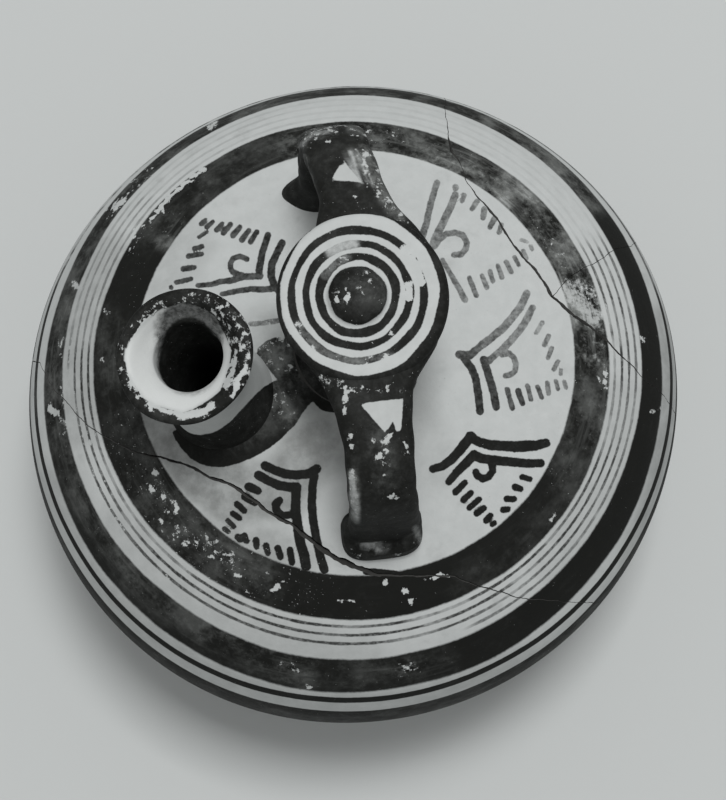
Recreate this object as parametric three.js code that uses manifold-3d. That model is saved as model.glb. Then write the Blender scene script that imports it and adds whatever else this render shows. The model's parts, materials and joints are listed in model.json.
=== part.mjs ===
// A closed pottery jar with a false neck under a disc, two strap handles and an open spout on its shoulder.
// Its body is mended from four sherds, so the break lines are real gaps between solids.
// Millimetres, +Z up. The origin is on the jar's axis, where the foot ring stands.
// The handles lie along Y, and the spout leans out over -X.
import * as THREE from "three";
import { mergeVertices } from "three/addons/utils/BufferGeometryUtils.js";
import Module from "manifold-3d";

const wasm = await Module();
wasm.setup();

// Body: a full shoulder over the belly and a half ellipse under it.
const BELLY_RADIUS = 80;
const BELLY_HEIGHT = 55;
const SHOULDER_RISE = 47.6;
const SHOULDER_FULLNESS = 2.25;
const BASE_RADIUS = 38;
const WALL = 5;
const FLOOR = 6;

// Foot ring under the base.
const FOOT_STEP = 4;
const FOOT_HEIGHT = 5;
const FOOT_WIDTH = 8;
const FOOT_ROUND = 1.5;

// False neck, a waisted tube that the disc closes.
const NECK_SEAT_RADIUS = 14;
const NECK_WAIST_RADIUS = 9.5;
const NECK_TOP_RADIUS = 12;
const NECK_BORE_RADIUS = 5;
const NECK_LENGTH = 31.5;

// Disc with its central boss.
const DISC_RADIUS = 18;
const DISC_THICKNESS = 6.2;
const DISC_EDGE = 4;
const DISC_ROUND = 1.6;
const BOSS_RADIUS = 6;
const BOSS_HEIGHT = 3;

// Spout, measured along its own axis from the shoulder's surface.
const SPOUT_REACH = 32;
const SPOUT_TURN = 12;
const SPOUT_LEAN = 8;
const SPOUT_LENGTH = 34;
const SPOUT_SINK = 5;
const SPOUT_FOOT_RADIUS = 14;
const SPOUT_TUBE_RADIUS = 10;
const SPOUT_LIP_RADIUS = 14;
const SPOUT_LIP_WIDTH = 2.4;
const SPOUT_BORE_RADIUS = 6.6;
const SPOUT_FUNNEL_DEPTH = 12;

// Strap handles, from the disc's edge out, round a bend and down to the shoulder.
// The back one is wider, and its leg comes down askew, nearer to the neck.
const STRAP_DROP = 2.5;
const STRAP_THICKNESS = 7;
const STRAP_DISC_WIDTH = 28;
const STRAP_TAPER_LENGTH = 19.5;
const STRAP_SQUARENESS = 0.6;
const STRAP_FOOT_LENGTH = 13;
const STRAP_FOOT_SPREAD = 3.5;
const STRAP_FOOT_THICKNESS = 8.5;
const STRAP_REACH = 40.3;
const STRAP_BEND = 13.5;
const STRAP_SINK = 5;
const FRONT_STRAP_WIDTH = 14;
const FRONT_FOOT_REACH = 43;
const BACK_STRAP_WIDTH = 16;
const BACK_FOOT_REACH = 39.5;
const BACK_FOOT_SHIFT = -3;

// Clearances between pieces that are luted or glued together.
const JOINT_GAP = 0.3;
const BREAK_GAP = 0.4;

// Break lines on the body: [azimuth, slope] in degrees. The slope is 0 at the belly and 90 on the axis above.
const RIGHT_BREAK = [
  [64, -34], [66, -14], [67, 4], [65, 26], [63.5, 36], [61.3, 43], [58.7, 48], [51.6, 54], [46.4, 56],
  [38.4, 57.5], [31.5, 58.4], [23.7, 58.6], [10.2, 56.4], [3.6, 53], [-2.6, 45], [-5.3, 42.3], [-9.2, 34],
  [-11.5, 21], [-13, 2], [-12, -14], [-14, -36], [0, -31], [22, -37], [42, -30],
];
const CROSS_BREAK = [
  [10.2, 56.4], [13.6, 52], [15.6, 46], [18.3, 33], [19, 23], [22, 2], [20, -18], [22, -37],
];
const FRONT_BREAK = [
  [168, -30], [169, -12], [167, 4], [170, 21], [179.5, 34], [184, 38], [189, 43], [195, 48], [201, 54],
  [209, 58.7], [220.7, 61.7], [231, 62], [243, 61], [252, 58.8], [265, 54], [273, 52.8], [282, 50.4],
  [287, 48.8], [291, 44], [295, 39.8], [298.5, 34.8], [304, 27], [307, 20.6], [312, 6], [311, -14],
  [314, -33], [296, -38], [274, -32], [250, -39], [226, -33], [204, -38], [184, -32],
];

// How finely the round forms are divided.
const BODY_SIDES = 64;
const TURNED_SIDES = 48;
const TUBE_SIDES = 32;
const STRAP_SIDES = 14;
const STRAP_STEPS = 20;
const OUTSIDE_STEPS = 10;
const INSIDE_STEPS = 6;
const CURVE_STEPS = 5;
const ROUND_STEPS = 2;
const SAME_POINT = 0.001;

// Sizes that follow from the ones above.
const radians = THREE.MathUtils.degToRad;
const BASE_ANGLE = Math.acos(BASE_RADIUS / BELLY_RADIUS);
const UNDERSIDE_DROP = (BELLY_HEIGHT - FOOT_HEIGHT) / Math.sin(BASE_ANGLE);
const SEAT_LEVEL = shoulderHeight(NECK_SEAT_RADIUS);
const NECK_TOP = SEAT_LEVEL + NECK_LENGTH;
const DISC_TOP = NECK_TOP + DISC_THICKNESS;
const FOOT_RADIUS = BASE_RADIUS - FOOT_STEP;
const STRAP_LEVEL = DISC_TOP - STRAP_DROP - STRAP_THICKNESS / 2;
const BREAK_DEPTH = 3 * WALL;

// The height of the shoulder's outside at a radius.
function shoulderHeight(radius) {
  const share = (radius / BELLY_RADIUS) ** SHOULDER_FULLNESS;
  return BELLY_HEIGHT + SHOULDER_RISE * (1 - share) ** (1 / SHOULDER_FULLNESS);
}

// The slope, in radians, at which the shoulder of a belly of the given size has a radius.
function shoulderAngle(radius, belly) {
  return Math.acos((radius / belly) ** (SHOULDER_FULLNESS / 2));
}

// Radius and height of the body's skin at a slope, grown by a clearance, or shrunk by the wall.
function skinPoint(angle, grow) {
  const power = angle > 0 ? 2 / SHOULDER_FULLNESS : 1;
  const rise = (angle > 0 ? SHOULDER_RISE : UNDERSIDE_DROP) + grow;
  const radius = (BELLY_RADIUS + grow) * Math.cos(angle) ** power;
  const height = BELLY_HEIGHT + Math.sign(angle) * rise * Math.abs(Math.sin(angle)) ** power;
  return new THREE.Vector2(radius, height);
}

// The body's skin from one slope to another, in even steps.
function skinLine(from, to, grow, steps) {
  return Array.from({ length: steps + 1 }, (_, i) => skinPoint(from + ((to - from) * i) / steps, grow));
}

// A point of the body's outside, from an azimuth and a slope in degrees.
function bodyPoint(azimuth, slope) {
  const { x: radius, y: height } = skinPoint(radians(slope), 0);
  const turn = radians(azimuth);
  return new THREE.Vector3(radius * Math.cos(turn), radius * Math.sin(turn), height);
}

// Turns points of radius and height round the Z axis.
function turnedPoints(points, sides) {
  const kept = points.filter((p, i) => i === 0 || p.distanceTo(points[i - 1]) > SAME_POINT);
  return new THREE.LatheGeometry(kept, sides).rotateX(Math.PI / 2);
}

// Turns a drawn outline round the Z axis.
function turned(outline, steps, sides) {
  return turnedPoints(outline.getPoints(steps), sides);
}

// Joins rings of equally many points into a closed skin, with flat caps or round to the first ring again.
function skinned(rings, closed) {
  const count = rings[0].length;
  const corners = rings.flat().flatMap((p) => p.toArray());
  const faces = [];
  const last = closed ? rings.length : rings.length - 1;
  for (let i = 0; i < last; i++) {
    const here = i * count;
    const next = ((i + 1) % rings.length) * count;
    for (let k = 0; k < count; k++) {
      const side = (k + 1) % count;
      faces.push(here + k, next + k, next + side, here + k, next + side, here + side);
    }
  }
  if (!closed) {
    const end = (rings.length - 1) * count;
    for (let k = 1; k < count - 1; k++) faces.push(0, k, k + 1, end, end + k + 1, end + k);
  }
  const geometry = new THREE.BufferGeometry();
  geometry.setAttribute("position", new THREE.Float32BufferAttribute(corners, 3));
  return geometry.setIndex(faces);
}

// A closed geometry as a solid that can be joined and cut.
function solid(geometry) {
  const bare = geometry.clone();
  bare.deleteAttribute("normal");
  bare.deleteAttribute("uv");
  const merged = mergeVertices(bare, SAME_POINT);
  const vertProperties = merged.attributes.position.array;
  const triVerts = new Uint32Array(merged.index.array);
  return new wasm.Manifold(new wasm.Mesh({ numProp: 3, vertProperties, triVerts }));
}

// The largest body of a cut solid, without the loose crumbs that a cut can leave.
function largest(cut) {
  return cut.decompose().sort((a, b) => b.volume() - a.volume())[0];
}

// A solid back as a geometry.
function geometryOf(made) {
  const mesh = made.getMesh();
  const geometry = new THREE.BufferGeometry();
  geometry.setAttribute("position", new THREE.BufferAttribute(mesh.vertProperties, 3));
  geometry.setIndex(new THREE.BufferAttribute(mesh.triVerts, 1));
  geometry.computeVertexNormals();
  return geometry;
}

// The outside of the body from the middle of its base to the neck's seat, grown by a clearance.
function bodyOutside(grow) {
  const base = new THREE.Vector2(0, skinPoint(-BASE_ANGLE, grow).y);
  const lower = skinLine(-BASE_ANGLE, 0, grow, OUTSIDE_STEPS);
  const upper = skinLine(0, shoulderAngle(NECK_SEAT_RADIUS, BELLY_RADIUS), grow, OUTSIDE_STEPS);
  return [base, ...lower, ...upper];
}

// The hollow body: its outside, the flat seat for the neck, then the inside down to the floor.
function bodyShell() {
  const floorLevel = FOOT_HEIGHT + FLOOR;
  const mouthAngle = shoulderAngle(NECK_BORE_RADIUS, BELLY_RADIUS - WALL);
  const floorAngle = Math.asin((BELLY_HEIGHT - floorLevel) / (UNDERSIDE_DROP - WALL));
  const mouth = new THREE.Vector2(NECK_BORE_RADIUS, SEAT_LEVEL);
  const upper = skinLine(mouthAngle, 0, -WALL, INSIDE_STEPS);
  const lower = skinLine(0, -floorAngle, -WALL, INSIDE_STEPS);
  const floor = new THREE.Vector2(0, floorLevel);
  return turnedPoints([...bodyOutside(0), mouth, ...upper, ...lower, floor], BODY_SIDES);
}

// The body's outside as one block, which cuts the pieces that are luted onto it.
function bodyBlock(grow) {
  const top = new THREE.Vector2(0, SEAT_LEVEL + grow);
  return solid(turnedPoints([...bodyOutside(grow), top], BODY_SIDES));
}

function footRing() {
  const inside = FOOT_RADIUS - FOOT_WIDTH;
  const outline = new THREE.Path();
  outline.moveTo(inside, FOOT_HEIGHT);
  outline.lineTo(inside, FOOT_ROUND);
  outline.quadraticCurveTo(inside, 0, inside + FOOT_ROUND, 0);
  outline.lineTo(FOOT_RADIUS - FOOT_ROUND, 0);
  outline.quadraticCurveTo(FOOT_RADIUS, 0, FOOT_RADIUS, FOOT_ROUND);
  outline.lineTo(FOOT_RADIUS, FOOT_HEIGHT);
  outline.lineTo(inside, FOOT_HEIGHT);
  return turned(outline, ROUND_STEPS, TURNED_SIDES);
}

// The neck's outline, grown by a clearance. Its bore is left out where it serves as a block for cutting.
function neckOutline(grow, bore) {
  const middle = (SEAT_LEVEL + NECK_TOP) / 2;
  const outline = new THREE.Path();
  outline.moveTo(bore, SEAT_LEVEL);
  outline.lineTo(NECK_SEAT_RADIUS + grow, SEAT_LEVEL);
  outline.quadraticCurveTo(NECK_WAIST_RADIUS + grow, SEAT_LEVEL, NECK_WAIST_RADIUS + grow, middle);
  outline.quadraticCurveTo(NECK_WAIST_RADIUS + grow, NECK_TOP, NECK_TOP_RADIUS + grow, NECK_TOP);
  outline.lineTo(bore, NECK_TOP);
  return outline;
}

function falseNeck() {
  const outline = neckOutline(0, NECK_BORE_RADIUS);
  outline.lineTo(NECK_BORE_RADIUS, SEAT_LEVEL);
  return turned(outline, CURVE_STEPS, TUBE_SIDES);
}

function neckBlock(grow) {
  return solid(turned(neckOutline(grow, 0), CURVE_STEPS, TUBE_SIDES));
}

// The disc: a sloping underside, a rounded edge, a flat top and the boss in its middle.
function disc(grow) {
  const rim = DISC_RADIUS + grow;
  const top = DISC_TOP + grow;
  const edge = DISC_TOP - DISC_EDGE - grow;
  const outline = new THREE.Path();
  outline.moveTo(0, NECK_TOP);
  outline.lineTo(NECK_TOP_RADIUS + grow, NECK_TOP);
  outline.lineTo(rim - DISC_ROUND, edge);
  outline.quadraticCurveTo(rim, edge, rim, edge + DISC_ROUND);
  outline.lineTo(rim, top - DISC_ROUND);
  outline.quadraticCurveTo(rim, top, rim - DISC_ROUND, top);
  outline.lineTo(BOSS_RADIUS + grow, top);
  outline.absellipse(0, top, BOSS_RADIUS + grow, BOSS_HEIGHT, 0, Math.PI / 2, false);
  return turned(outline, ROUND_STEPS, TURNED_SIDES);
}

// Puts the spout's own axis on the shoulder.
function spoutPlace() {
  const turn = new THREE.Matrix4().makeRotationZ(radians(SPOUT_TURN));
  const reach = new THREE.Matrix4().makeTranslation(-SPOUT_REACH, 0, shoulderHeight(SPOUT_REACH));
  const lean = new THREE.Matrix4().makeRotationY(-radians(SPOUT_LEAN));
  return turn.multiply(reach).multiply(lean);
}

function spoutTube() {
  const middle = (SPOUT_LENGTH - SPOUT_SINK) / 2;
  const lipInside = SPOUT_LIP_RADIUS - SPOUT_LIP_WIDTH;
  const throat = SPOUT_LENGTH - SPOUT_FUNNEL_DEPTH;
  const lipUnder = SPOUT_LENGTH - SPOUT_LIP_WIDTH / 2;
  const lipCrest = SPOUT_LIP_RADIUS - SPOUT_LIP_WIDTH / 2;
  const outline = new THREE.Path();
  outline.moveTo(SPOUT_BORE_RADIUS, -SPOUT_SINK);
  outline.lineTo(SPOUT_FOOT_RADIUS, -SPOUT_SINK);
  outline.quadraticCurveTo(SPOUT_TUBE_RADIUS, 0, SPOUT_TUBE_RADIUS, middle);
  outline.quadraticCurveTo(SPOUT_TUBE_RADIUS, throat, SPOUT_LIP_RADIUS, lipUnder);
  outline.quadraticCurveTo(SPOUT_LIP_RADIUS, SPOUT_LENGTH, lipCrest, SPOUT_LENGTH);
  outline.lineTo(lipInside, SPOUT_LENGTH - SPOUT_LIP_WIDTH / 4);
  outline.quadraticCurveTo(SPOUT_BORE_RADIUS, throat + SPOUT_FUNNEL_DEPTH / 2, SPOUT_BORE_RADIUS, throat);
  outline.lineTo(SPOUT_BORE_RADIUS, -SPOUT_SINK);
  return turned(outline, CURVE_STEPS, TUBE_SIDES).applyMatrix4(spoutPlace());
}

// The hole through the shoulder under the spout.
function spoutHole() {
  const depth = SPOUT_SINK + 2 * WALL;
  const hole = new THREE.CylinderGeometry(SPOUT_BORE_RADIUS, SPOUT_BORE_RADIUS, 2 * depth, TUBE_SIDES);
  return solid(hole.rotateX(Math.PI / 2).applyMatrix4(spoutPlace()));
}

// A handle's middle line: out from the neck, round the bend and down into the shoulder.
function strapLine({ side, footReach, footShift }) {
  const at = (shift, reach, height) => new THREE.Vector3(shift, side * reach, height);
  const start = at(0, NECK_WAIST_RADIUS, STRAP_LEVEL);
  const bendStart = at(0, STRAP_REACH - STRAP_BEND, STRAP_LEVEL);
  const elbow = at(0, STRAP_REACH, STRAP_LEVEL);
  const bendEnd = at(0, STRAP_REACH, STRAP_LEVEL - STRAP_BEND);
  const end = at(footShift, footReach, shoulderHeight(footReach) - STRAP_SINK);
  const line = new THREE.CurvePath();
  line.add(new THREE.LineCurve3(start, bendStart));
  line.add(new THREE.QuadraticBezierCurve3(bendStart, elbow, bendEnd));
  line.add(new THREE.LineCurve3(bendEnd, end));
  return line;
}

// A strap with soft edges: wide where it leaves the disc, slim round the bend, spread again at its foot.
function strap(form) {
  const line = strapLine(form);
  const length = line.getLength();
  const rings = [];
  for (let i = 0; i <= STRAP_STEPS; i++) {
    const along = i / STRAP_STEPS;
    const toShoulder = length * (1 - along) - STRAP_SINK;
    const nearDisc = 1 - THREE.MathUtils.smoothstep(length * along, 0, STRAP_TAPER_LENGTH);
    const nearFoot = 1 - THREE.MathUtils.smoothstep(toShoulder, 0, STRAP_FOOT_LENGTH);
    const width = form.width + (STRAP_DISC_WIDTH - form.width) * nearDisc + STRAP_FOOT_SPREAD * nearFoot;
    const thickness = STRAP_THICKNESS + (STRAP_FOOT_THICKNESS - STRAP_THICKNESS) * nearFoot;
    const across = new THREE.Vector3(form.side, 0, 0);
    const up = new THREE.Vector3().crossVectors(across, line.getTangentAt(along)).normalize();
    rings.push(strapSection(line.getPointAt(along), across, up, width, thickness));
  }
  return skinned(rings, false);
}

// One section of a strap, a rounded oblong.
function strapSection(centre, across, up, width, thickness) {
  const squared = (value) => Math.sign(value) * Math.abs(value) ** STRAP_SQUARENESS;
  const ring = [];
  for (let k = 0; k < STRAP_SIDES; k++) {
    const angle = (2 * Math.PI * (k + 0.5)) / STRAP_SIDES;
    const point = centre.clone();
    point.addScaledVector(across, (width / 2) * squared(Math.cos(angle)));
    point.addScaledVector(up, (thickness / 2) * squared(Math.sin(angle)));
    ring.push(point);
  }
  return ring;
}

// A handle cut to fit the shoulder, the neck and the disc.
function handle(form) {
  const cutters = [bodyBlock(JOINT_GAP), neckBlock(JOINT_GAP), solid(disc(JOINT_GAP))];
  return largest(cutters.reduce((made, cutter) => made.subtract(cutter), solid(strap(form))));
}

// A thin wall along a break line, from inside the body to outside it.
function breakWall(line, closed) {
  const middle = new THREE.Vector3(0, 0, BELLY_HEIGHT);
  const points = line.map(([azimuth, slope]) => bodyPoint(azimuth, slope).sub(middle));
  const count = points.length;
  const rings = points.map((point, i) => {
    const before = points[closed ? (i + count - 1) % count : Math.max(i - 1, 0)];
    const after = points[closed ? (i + 1) % count : Math.min(i + 1, count - 1)];
    const along = new THREE.Vector3().subVectors(after, before);
    const aside = new THREE.Vector3().crossVectors(along, point).setLength(BREAK_GAP / 2);
    const inside = point.clone().setLength(point.length() - BREAK_DEPTH).add(middle);
    const outside = point.clone().setLength(point.length() + WALL).add(middle);
    return [
      inside.clone().sub(aside),
      inside.clone().add(aside),
      outside.clone().add(aside),
      outside.clone().sub(aside),
    ];
  });
  return solid(skinned(rings, closed));
}

// The body broken along its lines: the large main piece first, then each sherd by its azimuth.
function brokenBody(sherdAzimuths) {
  const rightWalls = breakWall(RIGHT_BREAK, true).add(breakWall(CROSS_BREAK, false));
  const walls = rightWalls.add(breakWall(FRONT_BREAK, true));
  const pieces = solid(bodyShell()).subtract(spoutHole()).subtract(walls).decompose();
  pieces.sort((a, b) => b.volume() - a.volume());
  const [main, ...sherds] = pieces;
  const facing = (piece) => {
    const { min, max } = piece.boundingBox();
    return new THREE.Vector2(min[0] + max[0], min[1] + max[1]).normalize();
  };
  const nearest = (azimuth) => {
    const towards = new THREE.Vector2(Math.cos(radians(azimuth)), Math.sin(radians(azimuth)));
    return sherds.toSorted((a, b) => facing(b).dot(towards) - facing(a).dot(towards))[0];
  };
  return [main, ...sherdAzimuths.map(nearest)];
}

const clay = { color: 0xc3c8c8, roughness: 0.8, metalness: 0 };
const paint = { color: 0x2b2c2d, roughness: 0.6, metalness: 0 };

const jar = new THREE.Group();

function addPiece(name, geometry, finish) {
  const piece = new THREE.Mesh(geometry, new THREE.MeshStandardMaterial(finish));
  piece.name = name;
  jar.add(piece);
}

const SHERD_AZIMUTHS = { sherd_back_right: 42, sherd_right: 5, sherd_front: 240 };
const [mainPiece, ...sherdPieces] = brokenBody(Object.values(SHERD_AZIMUTHS));
addPiece("body_main", geometryOf(mainPiece), clay);
Object.keys(SHERD_AZIMUTHS).forEach((name, i) => addPiece(name, geometryOf(sherdPieces[i]), clay));

addPiece("foot_ring", footRing(), paint);
addPiece("false_neck", falseNeck(), clay);
addPiece("disc", disc(0), clay);
addPiece("spout", geometryOf(largest(solid(spoutTube()).subtract(bodyBlock(JOINT_GAP)))), clay);
const front = { side: -1, width: FRONT_STRAP_WIDTH, footReach: FRONT_FOOT_REACH, footShift: 0 };
const back = { side: 1, width: BACK_STRAP_WIDTH, footReach: BACK_FOOT_REACH, footShift: BACK_FOOT_SHIFT };
addPiece("handle_front", geometryOf(handle(front)), paint);
addPiece("handle_back", geometryOf(handle(back)), paint);

export default jar;
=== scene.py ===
# Looks of the painted stirrup jar: a mended body with its foot, neck, disc, spout and two handles.
import json
import math

import bmesh
import bpy
import numpy as np
from mathutils import Matrix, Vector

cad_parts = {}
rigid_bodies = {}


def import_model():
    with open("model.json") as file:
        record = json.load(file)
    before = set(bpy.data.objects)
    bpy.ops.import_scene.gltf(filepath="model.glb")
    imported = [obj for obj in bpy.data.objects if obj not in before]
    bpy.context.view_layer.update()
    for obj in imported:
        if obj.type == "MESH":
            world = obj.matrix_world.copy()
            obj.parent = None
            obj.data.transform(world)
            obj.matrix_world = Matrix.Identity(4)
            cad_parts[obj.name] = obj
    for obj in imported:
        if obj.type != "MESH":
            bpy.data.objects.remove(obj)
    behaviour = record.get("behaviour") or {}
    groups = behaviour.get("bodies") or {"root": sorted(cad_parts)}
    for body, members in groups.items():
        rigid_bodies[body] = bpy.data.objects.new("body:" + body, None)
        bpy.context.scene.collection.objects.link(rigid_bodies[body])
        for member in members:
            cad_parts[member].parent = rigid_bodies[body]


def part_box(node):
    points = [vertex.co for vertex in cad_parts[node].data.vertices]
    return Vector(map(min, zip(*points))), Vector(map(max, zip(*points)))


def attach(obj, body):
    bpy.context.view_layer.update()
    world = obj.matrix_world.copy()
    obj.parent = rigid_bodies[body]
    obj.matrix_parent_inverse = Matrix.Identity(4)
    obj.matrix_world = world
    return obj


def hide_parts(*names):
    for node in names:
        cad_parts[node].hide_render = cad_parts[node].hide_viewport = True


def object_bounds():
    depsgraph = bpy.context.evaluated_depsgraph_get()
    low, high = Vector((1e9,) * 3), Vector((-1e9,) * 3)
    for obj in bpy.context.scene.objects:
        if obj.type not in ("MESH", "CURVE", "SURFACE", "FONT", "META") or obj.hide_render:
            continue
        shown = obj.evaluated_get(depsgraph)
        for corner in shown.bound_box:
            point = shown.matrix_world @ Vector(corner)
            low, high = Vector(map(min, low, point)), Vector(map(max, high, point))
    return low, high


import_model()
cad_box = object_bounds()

# Sizes in millimetres, in the part's own frame: the axis is Z, the handles lie along Y, the spout over -X.
MM = 0.001
BELLY_RADIUS = (cad_box[1] - cad_box[0]).x / 2 / MM
FOOT_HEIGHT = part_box("body_main")[0].z / MM
SEAT_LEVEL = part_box("body_main")[1].z / MM
NECK_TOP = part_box("false_neck")[1].z / MM
BOSS_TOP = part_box("disc")[1].z / MM
BELLY_HEIGHT = 55.0
SHOULDER_RISE = 47.6
SHOULDER_FULLNESS = 2.25
BASE_RADIUS = 38.0
WALL = 5.0
FLOOR_LEVEL = FOOT_HEIGHT + 6.0
NECK_SEAT_RADIUS = 14.0
NECK_BORE_RADIUS = 5.0
DISC_TOP = BOSS_TOP - 3.0
STRAP_LEVEL = DISC_TOP - 6.0
SPOUT_REACH = 32.0
SPOUT_TURN = 12.0
SPOUT_LEAN = 8.0
SPOUT_BORE_RADIUS = 6.6
BASE_ANGLE = math.acos(BASE_RADIUS / BELLY_RADIUS)
UNDERSIDE_DROP = (BELLY_HEIGHT - FOOT_HEIGHT) / math.sin(BASE_ANGLE)
CENTRE = np.array([0.0, 0.0, BELLY_HEIGHT])

# Sides of the rings of each form.
BODY_SIDES = 640
DRILL_SIDES = 64
NECK_SIDES = 96
DISC_SIDES = 256
SPOUT_SIDES = 192
STRAP_SIDES = 96
FOOT_SIDES = 160

# The photograph's camera: turned about the axis, raised, rolled, and aimed at the middle of the belly.
PICTURE_WIDTH = 726
PICTURE_HEIGHT = 800
VIEW_TURN = math.radians(-10.5)
VIEW_ELEVATION = math.radians(76)
VIEW_ROLL = math.radians(-3.4)
VIEW_DISTANCE = 450.0
VIEW_SCALE = 4.0047
VIEW_OFFSET = (-9.5, -2.4)
SENSOR = 36.0
FOCAL = VIEW_SCALE * VIEW_DISTANCE


def turned(vector, angle):
    """A vector turned about the upright axis."""
    x, y, z = vector
    c, s = math.cos(angle), math.sin(angle)
    return np.array([c * x - s * y, s * x + c * y, z])


LOW, HIGH = math.cos(VIEW_ELEVATION), math.sin(VIEW_ELEVATION)
BACK = turned((0, -LOW, HIGH), VIEW_TURN)
LEVEL_RIGHT = turned((1, 0, 0), VIEW_TURN)
LEVEL_AHEAD = turned((0, 1, 0), VIEW_TURN)
LEVEL_UP = turned((0, HIGH, LOW), VIEW_TURN)
RIGHT = math.cos(VIEW_ROLL) * LEVEL_RIGHT - math.sin(VIEW_ROLL) * LEVEL_UP
UP = math.sin(VIEW_ROLL) * LEVEL_RIGHT + math.cos(VIEW_ROLL) * LEVEL_UP
AIM = CENTRE - RIGHT * VIEW_OFFSET[0] / VIEW_SCALE + UP * VIEW_OFFSET[1] / VIEW_SCALE
EYE = AIM + BACK * VIEW_DISTANCE


def project(points):
    """Pixels of the photograph at which points of the jar appear."""
    ray = points - EYE
    depth = -(ray @ BACK)
    x = PICTURE_WIDTH / 2 + FOCAL * (ray @ RIGHT) / depth
    y = PICTURE_HEIGHT / 2 - FOCAL * (ray @ UP) / depth
    return np.stack([x, y], -1)


# Break lines on the body: azimuth and slope in degrees, and the width of the gap in millimetres.
RIGHT_BREAK = [
    (64, -34, .3), (66, -14, .3), (67, 4, .2), (65, 26, .14), (63.5, 36, .14), (61.3, 43, .2),
    (58.7, 48, .7), (55, 51, .16), (51.6, 54, .18), (46.4, 56, .3), (40, 57.3, .55), (36, 57.8, .5),
    (31.5, 58.4, .45), (23.7, 58.6, .5), (10.2, 56.4, .7), (3.6, 53, .75), (-2.6, 45, .55),
    (-5.3, 42.3, .35), (-9.2, 34, .2), (-11.5, 21, .16), (-13, 2, .2), (-12, -14, .3), (-14, -36, .3),
    (0, -31, .3), (22, -37, .3), (42, -30, .3),
]
CROSS_BREAK = [
    (10.2, 56.4, .16), (13.6, 52, .14), (15.6, 46, .14), (18.3, 33, .14), (19, 23, .12), (22, 2, .2),
    (20, -18, .3), (22, -37, .3),
]
FRONT_BREAK = [
    (168, -30, .3), (169, -12, .3), (167, 4, .3), (170, 21, .16), (179.5, 34, .18), (184, 38, .2),
    (189, 43, .2), (195, 48, .3), (201, 54, .45), (209, 58.7, .5), (220.7, 61.7, .65), (231, 62, .65),
    (243, 61, .7), (252, 58.8, 1.05), (262, 55.2, 1.15), (268, 53.5, .8), (273, 52.8, .4), (282, 50.4, .35),
    (287, 48.8, .35), (291, 44, .28), (295, 39.8, .22), (298.5, 34.8, .2), (304, 27, .16), (307, 20.6, .16),
    (312, 6, .2), (311, -14, .3), (314, -33, .3), (296, -38, .3), (274, -32, .3), (250, -39, .3),
    (226, -33, .3), (204, -38, .3), (184, -32, .3),
]
# The azimuth of each sherd's middle, in degrees.
SHERDS = {"sherd_back_right": 42, "sherd_right": 5, "sherd_front": 240}

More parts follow.
